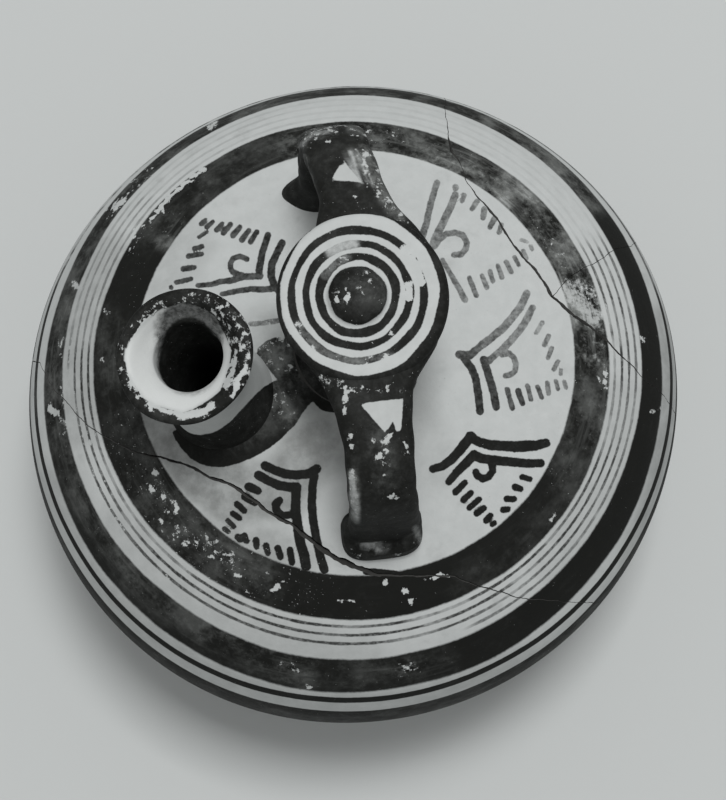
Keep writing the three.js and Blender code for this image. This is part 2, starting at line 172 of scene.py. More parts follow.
# The lists from STROKES to EDGE_FADED are given in the photograph's pixels.
# A stroke or a zone has a width at each end, its ink or amount, and the points that it passes.
STROKES = [
    # upper left
    (5.5, 6.3, .95, (268, 235), (262, 253), (259, 272)),
    (6, 4, .9, (260, 276), (245, 276.7), (231, 280.5), (220, 281.7), (212, 284.4), (198, 285.5)),
    (6.5, 6.5, .95, (282, 243), (277, 253), (272, 264), (271, 276), (274.4, 286), (280.5, 293)),
    (5.5, 4, .9, (271, 289), (260, 289.4), (251, 289), (240, 290.6), (231, 292.5), (222, 294)),
    (4.5, 4.5, .9, (242, 275), (233, 272.5), (230.5, 268), (230.5, 263), (233, 258.5), (240, 256.3),
     (247, 259)), (4.5, 4, .9, (201, 224), (205.5, 219.5)), (4.5, 4, .9, (206.7, 227), (212.8, 221.7)),
    (5, 4.5, .9, (216.7, 230), (222.2, 224)), (5.5, 5, .9, (223.3, 232.8), (230.5, 224.4)),
    (5.5, 5, .9, (232.8, 235.5), (240, 227.2)), (5.5, 5, .9, (241.7, 240), (249, 230.5)),
    (5, 5, .9, (250.5, 242), (256.7, 232)), (4, 3.5, .85, (199, 237), (207, 232)),
    (4.5, 4.5, .9, (194.4, 248.5), (202, 246.3)), (5, 4.5, .9, (188.3, 256.3), (201.7, 254)),
    (5.5, 5, .9, (183.3, 269), (194.4, 267.4)), (5, 4.5, .9, (176.7, 282.4), (191, 279)),
    (4.2, 4.2, .9, (171, 287.2), (171.3, 287.5)),
    # around the neck's foot, and the dark strip below the front handle
    (4, 4, .6, (251, 324), (264, 323), (282, 320)), (6, 7, 1, (366, 571.5), (384, 573), (400, 575.5)),
    # upper right, faded
    (5, 6, .74, (437, 182.5), (435, 189), (430.6, 204), (427, 221), (422, 237.5)),
    (6, 7, .68, (455, 195), (451, 206), (442.5, 224), (435.6, 237.5), (432.5, 246.5)),
    (6, 6, .6, (455.6, 187), (455.7, 188)), (5, 4.5, .6, (464, 195), (462, 201)),
    (5, 5, .7, (435, 246), (439, 240), (446, 234), (455, 232.5), (462.5, 235), (467, 242.5), (466, 249),
     (461, 254.4), (454, 255)),
    (3.5, 5.5, .64, (442.5, 260), (447.5, 269), (454, 280), (460, 290), (465, 300)),
    (5, 5, .72, (469.4, 278), (476.3, 295.6)), (4.5, 4.5, .62, (482, 275.6), (487, 288)),
    (4.5, 4.5, .62, (490, 271.3), (493, 281.3)), (4.5, 4.5, .68, (498, 265.6), (502, 277.5)),
    (5, 4.5, .7, (506.3, 262), (511.3, 272)), (4, 4, .7, (514.4, 257), (518.8, 265)),
    (5, 4.5, .62, (523, 251.3), (526.3, 258)), (4, 4, .5, (530.6, 246.3), (532, 249.4)),
    (4, 3.5, .45, (521.3, 240), (527, 242)), (5.5, 4.5, .7, (477, 201.3), (472, 209)),
    (6, 5, .78, (484.4, 209), (483, 218)), (6, 5, .76, (494.4, 219), (490, 227)),
    (5, 4.5, .7, (501.3, 225), (498.8, 232.5)),
    # right
    (7.5, 7, .88, (459.3, 354.5), (469.3, 355.8), (475, 351)), (7, 7, .8, (475, 351), (482, 345)),
    (7, 7, .73, (482, 345), (489.3, 339.5), (496, 334)),
    (7, 7, .67, (496, 334), (503, 328.3), (510, 320.5)),
    (7, 6.5, .6, (510, 320.5), (520.5, 307), (526.8, 293.3)),
    (6.5, 7, .95, (464, 358.3), (471.8, 368.3), (476, 379.5), (478, 393), (480, 411)),
    (6.5, 6.5, .86, (483.6, 359.5), (489, 360.8)), (6.5, 6.5, .77, (489, 360.8), (495.5, 355)),
    (6.5, 6.5, .7, (495.5, 355), (504, 348)),
    (6.5, 6, .64, (504, 348), (514, 337), (524, 324.5), (532.4, 308)),
    (6.5, 6.8, .93, (483.6, 359.5), (486.8, 369.5), (490.5, 382), (494.3, 394.5), (496, 407)),
    (4.5, 4.5, .68, (502, 355), (509, 353.3), (514, 358), (516, 364.5), (515, 371), (510.5, 375),
     (505.5, 376)), (4.5, 4, .5, (542.4, 322.6), (536, 333)), (4.5, 4.5, .62, (548.6, 335.8), (544.3, 345)),
    (4.5, 4, .66, (551.8, 348), (547.8, 358)), (4.5, 4.5, .7, (558, 361.4), (553.6, 369.5)),
    (4, 4, .64, (561, 370), (560.5, 374)), (5, 5, .86, (507.4, 389.5), (512.4, 408.3)),
    (6, 5.5, .93, (518, 390.8), (522.4, 403.3)), (4.5, 4.5, .8, (527.4, 385.8), (531, 399.5)),
    (4.5, 4.5, .8, (537.4, 386.5), (541.8, 397.6)), (4.5, 4.5, .72, (547.4, 383), (548.6, 393.5)),
    (4, 4, .68, (555.8, 381), (558, 389)), (4, 3.5, .6, (564.3, 381.5), (566, 388)),
    # lower right
    (7, 9.5, 1, (432.8, 469), (442.8, 466), (451.7, 459.4), (460.6, 449.4), (470.6, 436.7)),
    (8, 10.5, 1, (470.6, 437.2), (478, 441.7), (489.4, 445), (500.6, 445.6), (514, 446.7), (525, 446)),
    (10.5, 8, 1, (525, 446), (536, 445.6), (546, 442.8)),
    (6.5, 9, 1, (449, 481.7), (456, 472.8), (465, 464), (474, 455)),
    (9, 7.5, 1, (474, 455), (480.6, 458.3), (491.7, 460), (502.8, 461), (514, 462.2), (525, 463.3),
     (540.6, 463.3)),
    (6.5, 6, 1, (491.7, 463), (492.8, 470.6), (488.3, 477), (482.8, 479), (477, 476), (476, 472)),
    (7, 6.5, 1, (455.6, 492), (465, 482.8)), (6.5, 6, 1, (463.3, 500), (471, 492.8)),
    (6, 6, 1, (469.4, 507.8), (479, 499.4)), (6.5, 6, 1, (476.7, 513.3), (484, 508.3)),
    (6.5, 6, 1, (486, 520.6), (490.6, 515.6)), (5.5, 5, 1, (492.2, 524.4), (494.4, 522.8)),
    (6, 5.5, 1, (522.2, 477.2), (530, 479)), (7, 6, 1, (515, 487.2), (520.6, 489)),
    (6.5, 6, 1, (506.7, 499), (514, 499)), (6.8, 6, 1, (503.3, 509.7), (508.3, 509)),
    # lower left
    (8, 8.5, 1, (265, 465.6), (275, 470.6), (286, 474), (297, 475), (308, 474), (316.7, 469)),
    (7.5, 7.8, 1, (314.4, 475), (312.8, 485), (311.7, 501.7), (312.8, 517), (316, 537), (320, 555),
     (324.4, 570)), (8, 8.3, 1, (258.3, 475), (268.3, 480.6), (279.4, 485.6), (290.6, 487.2), (297, 487.2)),
    (8.5, 9.5, 1, (296.7, 487), (295.6, 499.4), (295.6, 513), (298, 528), (300.6, 544), (304, 555),
     (306, 566)), (6.5, 7, 1, (290, 515), (282, 515.5), (276, 510), (275.6, 504), (279.4, 500.6)),
    (9, 8, 1, (249, 486.7), (257.8, 490.6)), (8, 7, 1, (245, 496.7), (254.4, 502.8)),
    (6.5, 6, 1, (237.2, 504), (244.4, 511)), (6, 5.5, 1, (232.8, 513.3), (239.4, 518.3)),
    (5, 5, 1, (227.8, 520.6), (234, 526.7)), (5, 4.5, 1, (224.4, 528.5), (228.4, 532)),
    (7, 7, 1, (238, 537), (240, 539.4)), (6.5, 6, 1, (244.4, 535.6), (246.7, 541)),
    (6.5, 6, 1, (256, 540), (256.7, 546.7)), (6.5, 6, 1, (266, 545.6), (267.8, 553.3)),
    (7, 6.5, 1, (277.8, 548.3), (280.6, 557)), (7, 6.5, 1, (290, 550), (292, 562.8)),
]
# Dark loop below the spout, and the paint round the foot of the neck that it runs into.
SPOUT_LOOP = [
    (172, 432), (176, 441), (183, 450), (190, 458), (200, 464), (212, 467), (225, 467), (240, 463),
    (252, 458), (263, 452), (272, 446), (280, 440), (288, 432), (296, 424), (302, 414), (308, 406),
    (316, 398), (330, 395), (345, 385), (340, 352), (300, 344), (284, 350), (280, 379), (272, 382),
    (265, 386), (258, 392), (250, 400), (240, 411), (232, 420), (222, 428), (212, 433), (200, 435),
    (188, 433), (178, 428),
]
NECK_PATCH = [
    (256, 358), (258, 348), (266, 341), (276, 337), (286, 339), (293, 350), (312, 374), (306, 396),
    (288, 392), (276, 378), (268, 368),
]
# Inner edge of the dark paint on the spout's lip.
FUNNEL_EDGE = [
    (126, 350), (130, 342), (141, 328), (152, 317), (160, 310), (172, 307), (182, 303), (192, 305),
    (205, 310), (215, 317), (227, 340), (231, 350), (229, 363), (225, 378), (220, 390), (208, 400),
    (193, 409), (183, 412), (170, 409), (155, 405), (145, 398), (135, 385), (127, 370), (125, 358),
]
# Triangles of bare clay on the handles.
FRONT_TRIANGLE = [(360, 403.5), (403.5, 398.5), (401, 431), (396.5, 431.5), (393, 421), (385.5, 433.5)]
BACK_TRIANGLE = [(331, 180), (361, 182), (343, 160)]
# Chips and scratches, where the paint is lost.
HANDLE_WEAR = [
    (4.5, 3, 1, (345, 388), (345.5, 400), (343.5, 413)), (3, 3, 1, (350, 436), (350, 438)),
    (3, 3, 1, (352, 446), (352, 448)), (3.5, 3, 1, (391, 497), (396, 497)),
    (5, 4, 1, (385, 442), (390, 435)), (2.5, 2, 1, (379, 450), (381, 457)),
    (2.5, 2, 1, (404, 440), (408, 452)), (4.5, 4, 1, (364, 152), (367, 154)),
    (3, 3, 1, (357, 198), (359, 198)), (3, 3, 1, (377, 195), (378, 197)),
    (2.5, 2.5, 1, (328, 141), (329, 142)), (2, 2, 1, (372, 545), (392, 546)),
]
DISC_WEAR = [
    (12, 11, 1, (406, 250), (411, 259), (416, 268), (420, 281)), (10, 9, 1, (408, 287), (409, 298)),
    (5, 4, 1, (336, 298), (338, 300)), (5, 4, 1, (347, 299), (349, 294)), (4, 4, 1, (386, 355), (387, 357)),
    (3, 3, 1, (391, 333), (392, 334)),
]
BODY_WEAR = [
    (3.5, 2, 1, (272, 590), (283, 582)), (3.5, 3.5, 1, (384, 582), (386, 584)),
    (3, 3, 1, (404, 591), (407, 591)), (3, 3, 1, (411, 601), (411, 603)),
    (1.2, 1, 1, (330, 597), (343, 600), (356, 601)),
    (2, 2, 1, (426, 579), (437, 577), (441, 574), (450, 577)), (3, 3, 1, (307, 685), (309, 688)),
    (4, 4, 1, (224, 553), (226, 555)), (4, 4.5, 1, (175, 504), (177, 508)),
    (4, 3.5, 1, (155, 472), (157, 474)), (3, 3, 1, (150, 487), (152, 489)),
    (3, 2.5, 1, (163, 496), (165, 497)), (3, 3, 1, (160, 519), (162, 521)),
    (3, 3, 1, (195, 542), (197, 543)), (3, 2, 1, (237, 575), (240, 577)), (3, 2, 1, (246, 592), (248, 593)),
    (3, 3, 1, (163, 213), (165, 213)), (3, 2, 1, (551, 520), (556, 514)), (6, 5, 1, (115, 208), (124, 200)),
    (3.5, 3.5, 1, (604, 372), (606, 374)), (3, 3, 1, (604, 381), (605, 382)),
    (4, 4, 1, (104, 310), (106, 313)), (3, 3, 1, (102, 358), (104, 361)), (4, 3, 1, (642, 338), (643, 341)),
    (2.5, 2, 1, (652, 411), (661, 408)), (7, 5, 1, (50, 408), (56, 414)), (5, 4, 1, (75, 284), (81, 289)),
    (5, 4, 1, (210, 127), (216, 124)), (4, 3, 1, (204, 168), (184, 184), (165, 202), (149, 221.5)),
]
SPOUT_WEAR = [
    (5, 3, 1, (133, 341), (140, 329), (150, 317)), (3, 3, 1, (128, 372), (136, 389), (146, 400)),
    (4, 5, 1, (150, 404), (166, 411), (184, 415)), (7, 7, 1, (184, 416), (198, 414), (211, 406)),
    (6, 4, 1, (226, 386), (233, 370), (236, 352)), (5, 4, 1, (233, 396), (238, 380), (246, 366)),
]
# Zones where the paint is broken by small losses.
MOTTLED_SPOUT = [
    (30, 30, 1, (216, 306), (232, 326), (239, 350), (234, 374)),
    (10, 8, 1, (134, 330), (160, 306), (195, 298)),
    (6, 6, 1, (128, 380), (146, 404), (176, 416), (206, 414)),
    (6, 6, 1, (122, 346), (122, 370), (129, 390)),
]
MOTTLED_BODY = [
    (14, 16, .5, (262, 354), (276, 362), (292, 378), (290, 392)), (12, 12, .4, (372, 136), (398, 138)),
    (12, 10, .7, (580, 287), (590, 294)), (10, 8, .6, (600, 304), (608, 320)),
    (12, 12, .4, (272, 393), (288, 415)), (8, 8, .6, (130, 249), (141, 224)),
    (14, 8, .75, (404, 669), (415, 664)), (12, 6, .6, (284, 663), (296, 669)),
    (12, 12, .9, (258, 345), (272, 340), (288, 345)), (8, 8, 1, (252, 323), (282, 321)),
    (14, 14, .45, (150, 478), (170, 510)), (18, 18, .75, (172, 532), (206, 545), (232, 560)),
    (12, 12, .4, (96, 470), (120, 530), (170, 590)), (9, 9, .7, (600, 365), (604, 385)),
    (12, 12, .35, (110, 212), (128, 192), (150, 172)), (7, 7, .7, (340, 705), (366, 716), (412, 716)),
    (14, 14, .8, (66, 345), (68, 390), (72, 432)), (16, 16, .9, (66, 426), (90, 438)),
    (10, 10, .5, (540, 232), (562, 260)),
]
MOTTLED_HANDLE = [
    (12, 10, .75, (322, 380), (336, 384), (350, 390)), (10, 8, .45, (350, 390), (375, 392), (398, 389)),
    (6, 4, .75, (352, 474), (354, 500), (356, 516)), (4, 4, .4, (362, 546), (388, 549), (412, 540)),
    (5, 5, .7, (354, 552), (358, 555)), (4, 4, .7, (392, 556), (397, 556)),
    (12, 12, .55, (304, 140), (320, 129), (350, 127), (366, 134)),
    (8, 8, .7, (358, 156), (368, 176), (378, 196), (396, 218)),
    (6, 6, .55, (374, 158), (382, 183), (391, 204), (405, 222)),
    (5, 5, .6, (449, 300), (446, 325), (434, 348)), (16, 16, .3, (380, 440), (384, 470)),
]
MOTTLED_DISC = [
    (8, 8, .9, (300, 326), (308, 340), (318, 349)), (8, 8, .7, (322, 274), (332, 263), (345, 256)),
    (8, 8, .7, (340, 360), (366, 361), (392, 354)), (22, 22, .35, (340, 297), (362, 280)),
]
# Zones where the paint is thin and cloudy, and where it is lightened as a painted sheen or highlight: the
# body's upper right, the edges of the handles and their feet, and the boss.
HAZE = [
    (26, 22, 2.1, (573, 291), (586, 299), (594, 316)), (40, 36, 1.25, (590, 312), (597, 350)),
    (44, 50, 1.0, (440, 165), (500, 190), (550, 235), (590, 290), (600, 330)),
    (46, 40, .42, (600, 330), (598, 380), (588, 430)), (40, 36, .22, (584, 440), (572, 480)),
    (30, 30, .1, (560, 500), (520, 545)), (36, 36, .75, (300, 145), (370, 138), (430, 155)),
    (14, 14, .9, (376, 136), (394, 139)), (36, 40, .22, (150, 225), (210, 170), (280, 145)),
    (30, 30, .4, (300, 92), (380, 90), (460, 105)), (30, 30, .65, (460, 105), (530, 145), (585, 195)),
    (28, 28, .42, (95, 240), (140, 180), (200, 130), (270, 98)),
    (30, 34, .2, (110, 330), (120, 400), (150, 470)), (14, 12, .7, (164, 242), (178, 226)),
    (26, 26, .4, (52, 400), (56, 330), (75, 270), (95, 235)),
    (50, 50, .26, (150, 480), (190, 535), (250, 580)), (30, 30, .1, (470, 585), (520, 550)),
    (30, 30, .34, (60, 420), (85, 490), (140, 575), (220, 635), (300, 670)),
    (24, 24, .22, (340, 676), (440, 665)), (12, 8, .7, (404, 669), (415, 664)),
    (10, 8, .6, (284, 664), (296, 669)), (20, 20, .3, (240, 440), (300, 395)),
    (30, 26, .65, (260, 348), (276, 352), (290, 372)), (18, 16, .8, (272, 393), (288, 415)),
]
HANDLE_HAZE = [
    (10, 8, .6, (353, 156), (358, 168), (361, 180)),
    (14, 14, .6, (366, 150), (376, 176), (386, 197), (398, 214)),
    (8, 6, .9, (300, 145), (312, 134), (332, 131)), (8, 6, .7, (352, 128), (364, 131), (371, 145)),
    (6, 5, .25, (360, 543), (375, 547), (392, 546), (405, 541), (416, 534)),
    (7, 6, 1, (353, 474), (355, 495), (354, 516)), (3, 3, .8, (304, 156), (309, 172), (315, 192)),
    (12, 14, .35, (302, 165), (306, 190), (306, 212)), (24, 24, .16, (380, 430), (384, 480)),
]
DISC_HAZE = [(26, 26, .18, (364, 284), (374, 292)), (10, 10, .35, (312, 346), (340, 359), (376, 360))]
# Zones where the paint is faded, which on the front foot's ledge and the back strap's top corner also paint
# highlights.
HANDLE_FADED = [
    (2.5, 7.5, .6, (350.5, 473), (354, 495)), (7.5, 2.5, .6, (354, 495), (357, 520)),
    (1.8, 1.6, .7, (360, 545), (372, 543.5), (396, 544)),
    (1.5, 1.5, .5, (368, 549), (378, 550), (392, 547)), (5, 4, .3, (416, 529), (421, 541)),
    (2.4, 2, .75, (351, 152), (356, 166), (361, 182)), (1.8, 1.8, .6, (349, 160), (353, 170), (357, 179)),
    (1.8, 1.6, .5, (357, 152), (362, 166), (367, 181)), (1.6, 1.4, .4, (363, 158), (368, 172), (373, 186)),
    (3, 3, .3, (300, 146), (311, 135), (330, 131)),
]
DISC_FADED = [
    (9, 9, .75, (331, 251), (342, 246), (353, 243.5)), (7, 7, .2, (326, 274), (334, 264), (346, 257)),
    (7, 7, .15, (300, 326), (312, 344), (330, 356), (360, 361), (390, 356)),
]
# Zones where the paint has more flecks and nicks, and where the clay is darkened: partly by stains, partly as
# painted shade beside the front handle, below the spout and towards the body's edges.
RUBBED = [
    (60, 70, 1, (130, 440), (170, 510), (230, 565), (290, 590)),
    (36, 36, .5, (120, 300), (140, 250), (190, 190)), (40, 40, .5, (590, 340), (590, 400), (560, 470)),
    (30, 30, .6, (60, 420), (90, 500), (150, 580), (220, 630)),
    (40, 40, .5, (440, 165), (520, 200), (570, 260)), (26, 26, .4, (270, 650), (330, 675), (410, 668)),
]
DIRT = [
    (66, 56, .95, (165, 425), (205, 470), (232, 495)), (56, 46, .85, (232, 495), (280, 490), (318, 440)),
    (40, 36, .55, (215, 520), (300, 560)), (46, 40, .6, (322, 415), (330, 448)),
    (40, 40, .25, (420, 420), (430, 470)), (40, 30, .5, (268, 330), (262, 360)),
    (40, 40, .3, (160, 300), (190, 240)), (44, 44, .5, (80, 420), (82, 340), (105, 260)),
    (40, 40, .3, (120, 520), (180, 590), (280, 640), (360, 655)),
    (40, 40, .25, (620, 400), (605, 470), (560, 560)),
    (26, 26, .6, (668, 320), (672, 400), (662, 480), (640, 560)),
    (30, 24, .4, (60, 480), (120, 600), (200, 670), (300, 705), (420, 705), (520, 665)),
]
# Where all the fine lines are dim, where the outermost is missing, and where the line below band 2 fades.
DIM_LINES = [
    (44, 44, .8, (150, 175), (210, 130), (300, 108)),
    (44, 44, .9, (300, 108), (380, 105), (460, 120), (530, 165), (580, 220)),
    (44, 44, .45, (75, 320), (95, 255), (150, 175)), (30, 30, .35, (610, 400), (612, 425)),
]
FEW_LINES = [(60, 60, 1, (60, 400), (110, 520), (200, 610), (330, 650), (440, 640))]
EDGE_FADED = [
    (60, 60, .92, (60, 240), (100, 185), (190, 115), (300, 85), (400, 80), (500, 105)),
    (60, 60, .35, (500, 105), (590, 180), (640, 260)),
]
BODY_ZONES = {
    "haze": HAZE, "rub": RUBBED, "dirt": DIRT, "few": FEW_LINES, "dim": DIM_LINES, "edge": EDGE_FADED,
}

# Pixels past which the distance to an edge no longer matters, for paint and for soft zones.
FAR = 12.0
ZONE_FAR = 60.0
# How much of a zone's width its soft edge takes.
ZONE_SOFTNESS = .6
# Where mottled paint starts to break, less the zone's amount, and how fast that fades outside the zone.
MOTTLE_START = 1.9
MOTTLE_FADE = .5


def smooth(value, low, high):
    """A soft step from 0 to 1."""
    share = np.clip((value - low) / (high - low), 0, 1)
    return share * share * (3 - 2 * share)


def waves(value, *parts):
    """A fixed wobble: a sum of sines, each an amplitude, a frequency and a phase."""
    return sum(size * np.sin(rate * value + phase) for size, rate, phase in parts)


def run_along(points):
    """The length of a line of points up to each of them."""
    return np.r_[0, np.cumsum(np.linalg.norm(np.diff(points, axis=0), axis=1))]


def polar(points):
    """Azimuth of points, and their distance from the axis."""
    return np.arctan2(points[:, 1], points[:, 0]), np.hypot(points[:, 0], points[:, 1])


def even(points, step):
    """A line of points resampled to even steps of about the given length."""
    points = np.asarray(points, float)
    run = run_along(points)
    marks = np.linspace(0, run[-1], max(2, int(round(run[-1] / step)) + 1))
    return np.stack([np.interp(marks, run, column) for column in points.T], -1)


def curve(points, step):
    """A smooth line through points, in even steps."""
    points = np.asarray(points, float)
    padded = np.vstack([points[0], points, points[-1]])
    t = np.linspace(0, 1, 24, endpoint=False)[:, None]
    runs = []
    for a, b, c, d in zip(padded, padded[1:], padded[2:], padded[3:]):
        square, cube = 2 * a - 5 * b + 4 * c - d, 3 * b - a - 3 * c + d
        runs.append(0.5 * (2 * b + (c - a) * t + square * t**2 + cube * t**3))
    return even(np.vstack(runs + [points[-1:]]), step)


def nearby(pixels, line, reach):
    """Which pixels lie within reach of a line's box."""
    return np.all((pixels > line.min(0) - reach) & (pixels < line.max(0) + reach), axis=1).nonzero()[0]


def to_segment(spots, start, end):
    """Distance of spots from a straight segment, and how far along it their nearest points lie."""
    along = end - start
    share = np.clip(((spots - start) @ along) / (along @ along), 0, 1)
    return np.linalg.norm(spots - start - share[:, None] * along, axis=1), share


def stroke_distance(pixels, strokes, reach=FAR):
    """Pixels to the edge of the nearest stroke, below 0 inside it, and the ink of that stroke."""
    nearest = np.full(len(pixels), reach)
    ink = np.ones(len(pixels))
    for start, end, strength, *line in strokes:
        line = np.array(line, float)
        run = run_along(line)
        near = nearby(pixels, line, reach)
        spots = pixels[near]
        best = np.full(len(near), reach)
        for i, (a, b) in enumerate(zip(line, line[1:])):
            gap, share = to_segment(spots, a, b)
            placed = (run[i] + share * (run[i + 1] - run[i])) / run[-1]
            best = np.minimum(best, gap - (start + (end - start) * placed) / 2)
        closer = best < nearest[near]
        nearest[near[closer]] = best[closer]
        ink[near[closer]] = strength
    return nearest, ink


def area_distance(pixels, corners, reach=FAR):
    """Pixels to the edge of a closed outline, below 0 inside it."""
    corners = np.array(corners, float)
    near = nearby(pixels, corners, reach)
    spots = pixels[near]
    best = np.full(len(near), reach)
    within = np.zeros(len(near), bool)
    for a, b in zip(corners, np.roll(corners, -1, axis=0)):
        best = np.minimum(best, to_segment(spots, a, b)[0])
        crosses = (a[1] > spots[:, 1]) != (b[1] > spots[:, 1])
        wide, tall = b - a
        with np.errstate(divide="ignore", invalid="ignore"):
            within ^= crosses & (spots[:, 0] < a[0] + (spots[:, 1] - a[1]) * wide / tall)
    nearest = np.full(len(pixels), reach)
    nearest[near] = np.where(within, -best, best)
    return nearest


def worn_distance(pixels, chips, mottled):
    """Pixels to the nearest lost paint, held near 0 where the paint is mottled so that noise decides."""
    lost = stroke_distance(pixels, chips)[0]
    zone, amount = stroke_distance(pixels, mottled)
    return np.minimum(lost, MOTTLE_START - amount + np.maximum(zone, 0) * MOTTLE_FADE)


def soft_zone(pixels, zones, fade=18.0):
    """How deep pixels lie in soft-edged zones, from 0 to each zone's amount."""
    total = np.zeros(len(pixels))
    for start, end, amount, *line in zones:
        away = stroke_distance(pixels, [(start, end, 1, *line)], ZONE_FAR)[0]
        soft = min(fade, start * ZONE_SOFTNESS)
        total = np.maximum(total, amount * smooth(-away, -soft, soft / 2))
    return total


def skinned(grid, closed=False):
    """Points and faces of rings joined to a closed skin, round to the first or with fans over the ends."""
    rings, count = grid.shape[:2]
    points = grid.reshape(-1, 3)
    ring, spot = np.meshgrid(np.arange(rings if closed else rings - 1), np.arange(count), indexing="ij")
    here, there = ring * count, (ring + 1) % rings * count
    side = (spot + 1) % count
    faces = np.stack([here + spot, there + spot, there + side, here + side], -1).reshape(-1, 4).tolist()
    if not closed:
        for end in (0, rings - 1):
            middle = len(points)
            points = np.vstack([points, grid[end].mean(0)])
            faces += [(middle, end * count + s, end * count + (s + 1) % count) for s in range(count)]
    return points, faces


def turned_grid(profile, sides):
    """Rings from radius and height, turned round the axis."""
    profile = np.asarray(profile, float)
    angle = np.linspace(0, 2 * math.pi, sides, endpoint=False)
    radius = profile[:, :1]
    height = np.broadcast_to(profile[:, 1:], (len(profile), sides))
    return np.stack([radius * np.cos(angle), radius * np.sin(angle), height], -1)


def add_object(name, data):
    """A new object in the scene."""
    made = bpy.data.objects.new(name, data)
    bpy.context.scene.collection.objects.link(made)
    return made


def build(name, points, faces):
    """A mesh object in millimetres, facing out."""
    mesh = bpy.data.meshes.new(name)
    mesh.from_pydata(np.asarray(points).tolist(), [], faces)
    form = bmesh.new()
    form.from_mesh(mesh)
    bmesh.ops.recalc_face_normals(form, faces=form.faces)
    form.to_mesh(mesh)
    form.free()
    return add_object(name, mesh)


def points_of(piece):
    """A piece's points as an array."""
    spots = np.zeros(len(piece.data.vertices) * 3, np.float32)
    piece.data.vertices.foreach_get("co", spots)
    return spots.reshape(-1, 3).astype(float)


def place(piece, points):
    """Moves a piece's points."""
    piece.data.vertices.foreach_set("co", np.asarray(points, np.float32).ravel())
    piece.data.update()


def mark(piece, **values):
    """Per-point numbers that the materials read."""
    for name, value in values.items():
        spots = np.broadcast_to(np.asarray(value, np.float32), len(piece.data.vertices))
        layer = piece.data.attributes.new(name, "FLOAT", "POINT")
        layer.data.foreach_set("value", np.ascontiguousarray(spots))


def cut(piece, cutter):
    """Takes one closed form out of another."""
    change = piece.modifiers.new("cut", "BOOLEAN")
    change.operation = "DIFFERENCE"
    change.solver = "MANIFOLD"
    change.object = cutter
    bpy.context.view_layer.update()
    made = bpy.data.meshes.new_from_object(piece.evaluated_get(bpy.context.evaluated_depsgraph_get()))
    piece.modifiers.clear()
    piece.data = made
    bpy.data.objects.remove(cutter)


def skin_point(slope, grow=0.0):
    """Radius and height of the body's skin at slopes in radians, grown by a distance."""
    slope = np.asarray(slope, float)
    above = slope > 0
    power = np.where(above, 2 / SHOULDER_FULLNESS, 1.0)
    rise = np.where(above, SHOULDER_RISE, UNDERSIDE_DROP) + grow
    radius = (BELLY_RADIUS + grow) * np.cos(slope) ** power
    return np.stack([radius, BELLY_HEIGHT + np.sign(slope) * rise * np.abs(np.sin(slope)) ** power], -1)


def on_skin(turn, slope):
    """Points of the body's skin at azimuths and slopes in radians."""
    radius, height = skin_point(slope).T
    return np.stack([radius * np.cos(turn), radius * np.sin(turn), height], -1)


def skin_depth(points):
    """About how far points lie outside the body's skin."""
    radius = polar(points)[1]
    height = points[:, 2] - BELLY_HEIGHT
    above = height > 0
    power = np.where(above, SHOULDER_FULLNESS, 2.0)
    rise = np.where(above, SHOULDER_RISE, UNDERSIDE_DROP)
    across, up = radius / BELLY_RADIUS, np.abs(height) / rise
    slope = np.hypot(across ** (power - 1) / BELLY_RADIUS, up ** (power - 1) / rise) * power
    return (across**power + up**power - 1) / np.maximum(slope, 1e-6)


def shoulder_height(radius):
    """Height of the shoulder at a distance from the axis."""
    share = (radius / BELLY_RADIUS) ** SHOULDER_FULLNESS
    return BELLY_HEIGHT + SHOULDER_RISE * (1 - share) ** (1 / SHOULDER_FULLNESS)


def shoulder_angle(radius, belly):
    """Slope at which a shoulder that starts from the given belly reaches a radius."""
    return math.acos((radius / belly) ** (SHOULDER_FULLNESS / 2))


# Steps of the body's rings: fine where the shoulder is painted, wider below it and inside.
PAINTED_ABOVE = 63.0
SHOULDER_STEP = .55
BELLY_STEP = 3.0
INSIDE_STEP = 7.0
# Radii of the rings across the base, the neck's seat and the floor inside.
BASE_RINGS = (6, 14, 22, 30, 36)
SEAT_RINGS = (11, NECK_BORE_RADIUS)
FLOOR_RINGS = (30, 12)


def body_profile():
    """Radius and height from the base, up the outside, over the seat and down the inside to the floor."""
    top = shoulder_angle(NECK_SEAT_RADIUS, BELLY_RADIUS)
    outside = skin_point(np.linspace(-BASE_ANGLE, top, 3000))
    upper = outside[outside[:, 1] > PAINTED_ABOVE]
    lower = outside[outside[:, 1] <= PAINTED_ABOVE]
    mouth = shoulder_angle(NECK_BORE_RADIUS, BELLY_RADIUS - WALL)
    floor = math.asin((BELLY_HEIGHT - FLOOR_LEVEL) / (UNDERSIDE_DROP - WALL))
    inside = skin_point(np.linspace(mouth, -floor, 400), -WALL)
    return np.vstack([
        [(radius, FOOT_HEIGHT) for radius in BASE_RINGS],
        even(lower, BELLY_STEP),
        even(upper, SHOULDER_STEP)[1:],
        [(radius, SEAT_LEVEL) for radius in SEAT_RINGS],
        even(inside, INSIDE_STEP),
        [(radius, FLOOR_LEVEL) for radius in FLOOR_RINGS],
    ])


# Step along a break, and the reach of its wall inside and outside the skin.
BREAK_STEP = 0.7
BREAK_INSIDE = 3 * WALL
BREAK_OUTSIDE = WALL


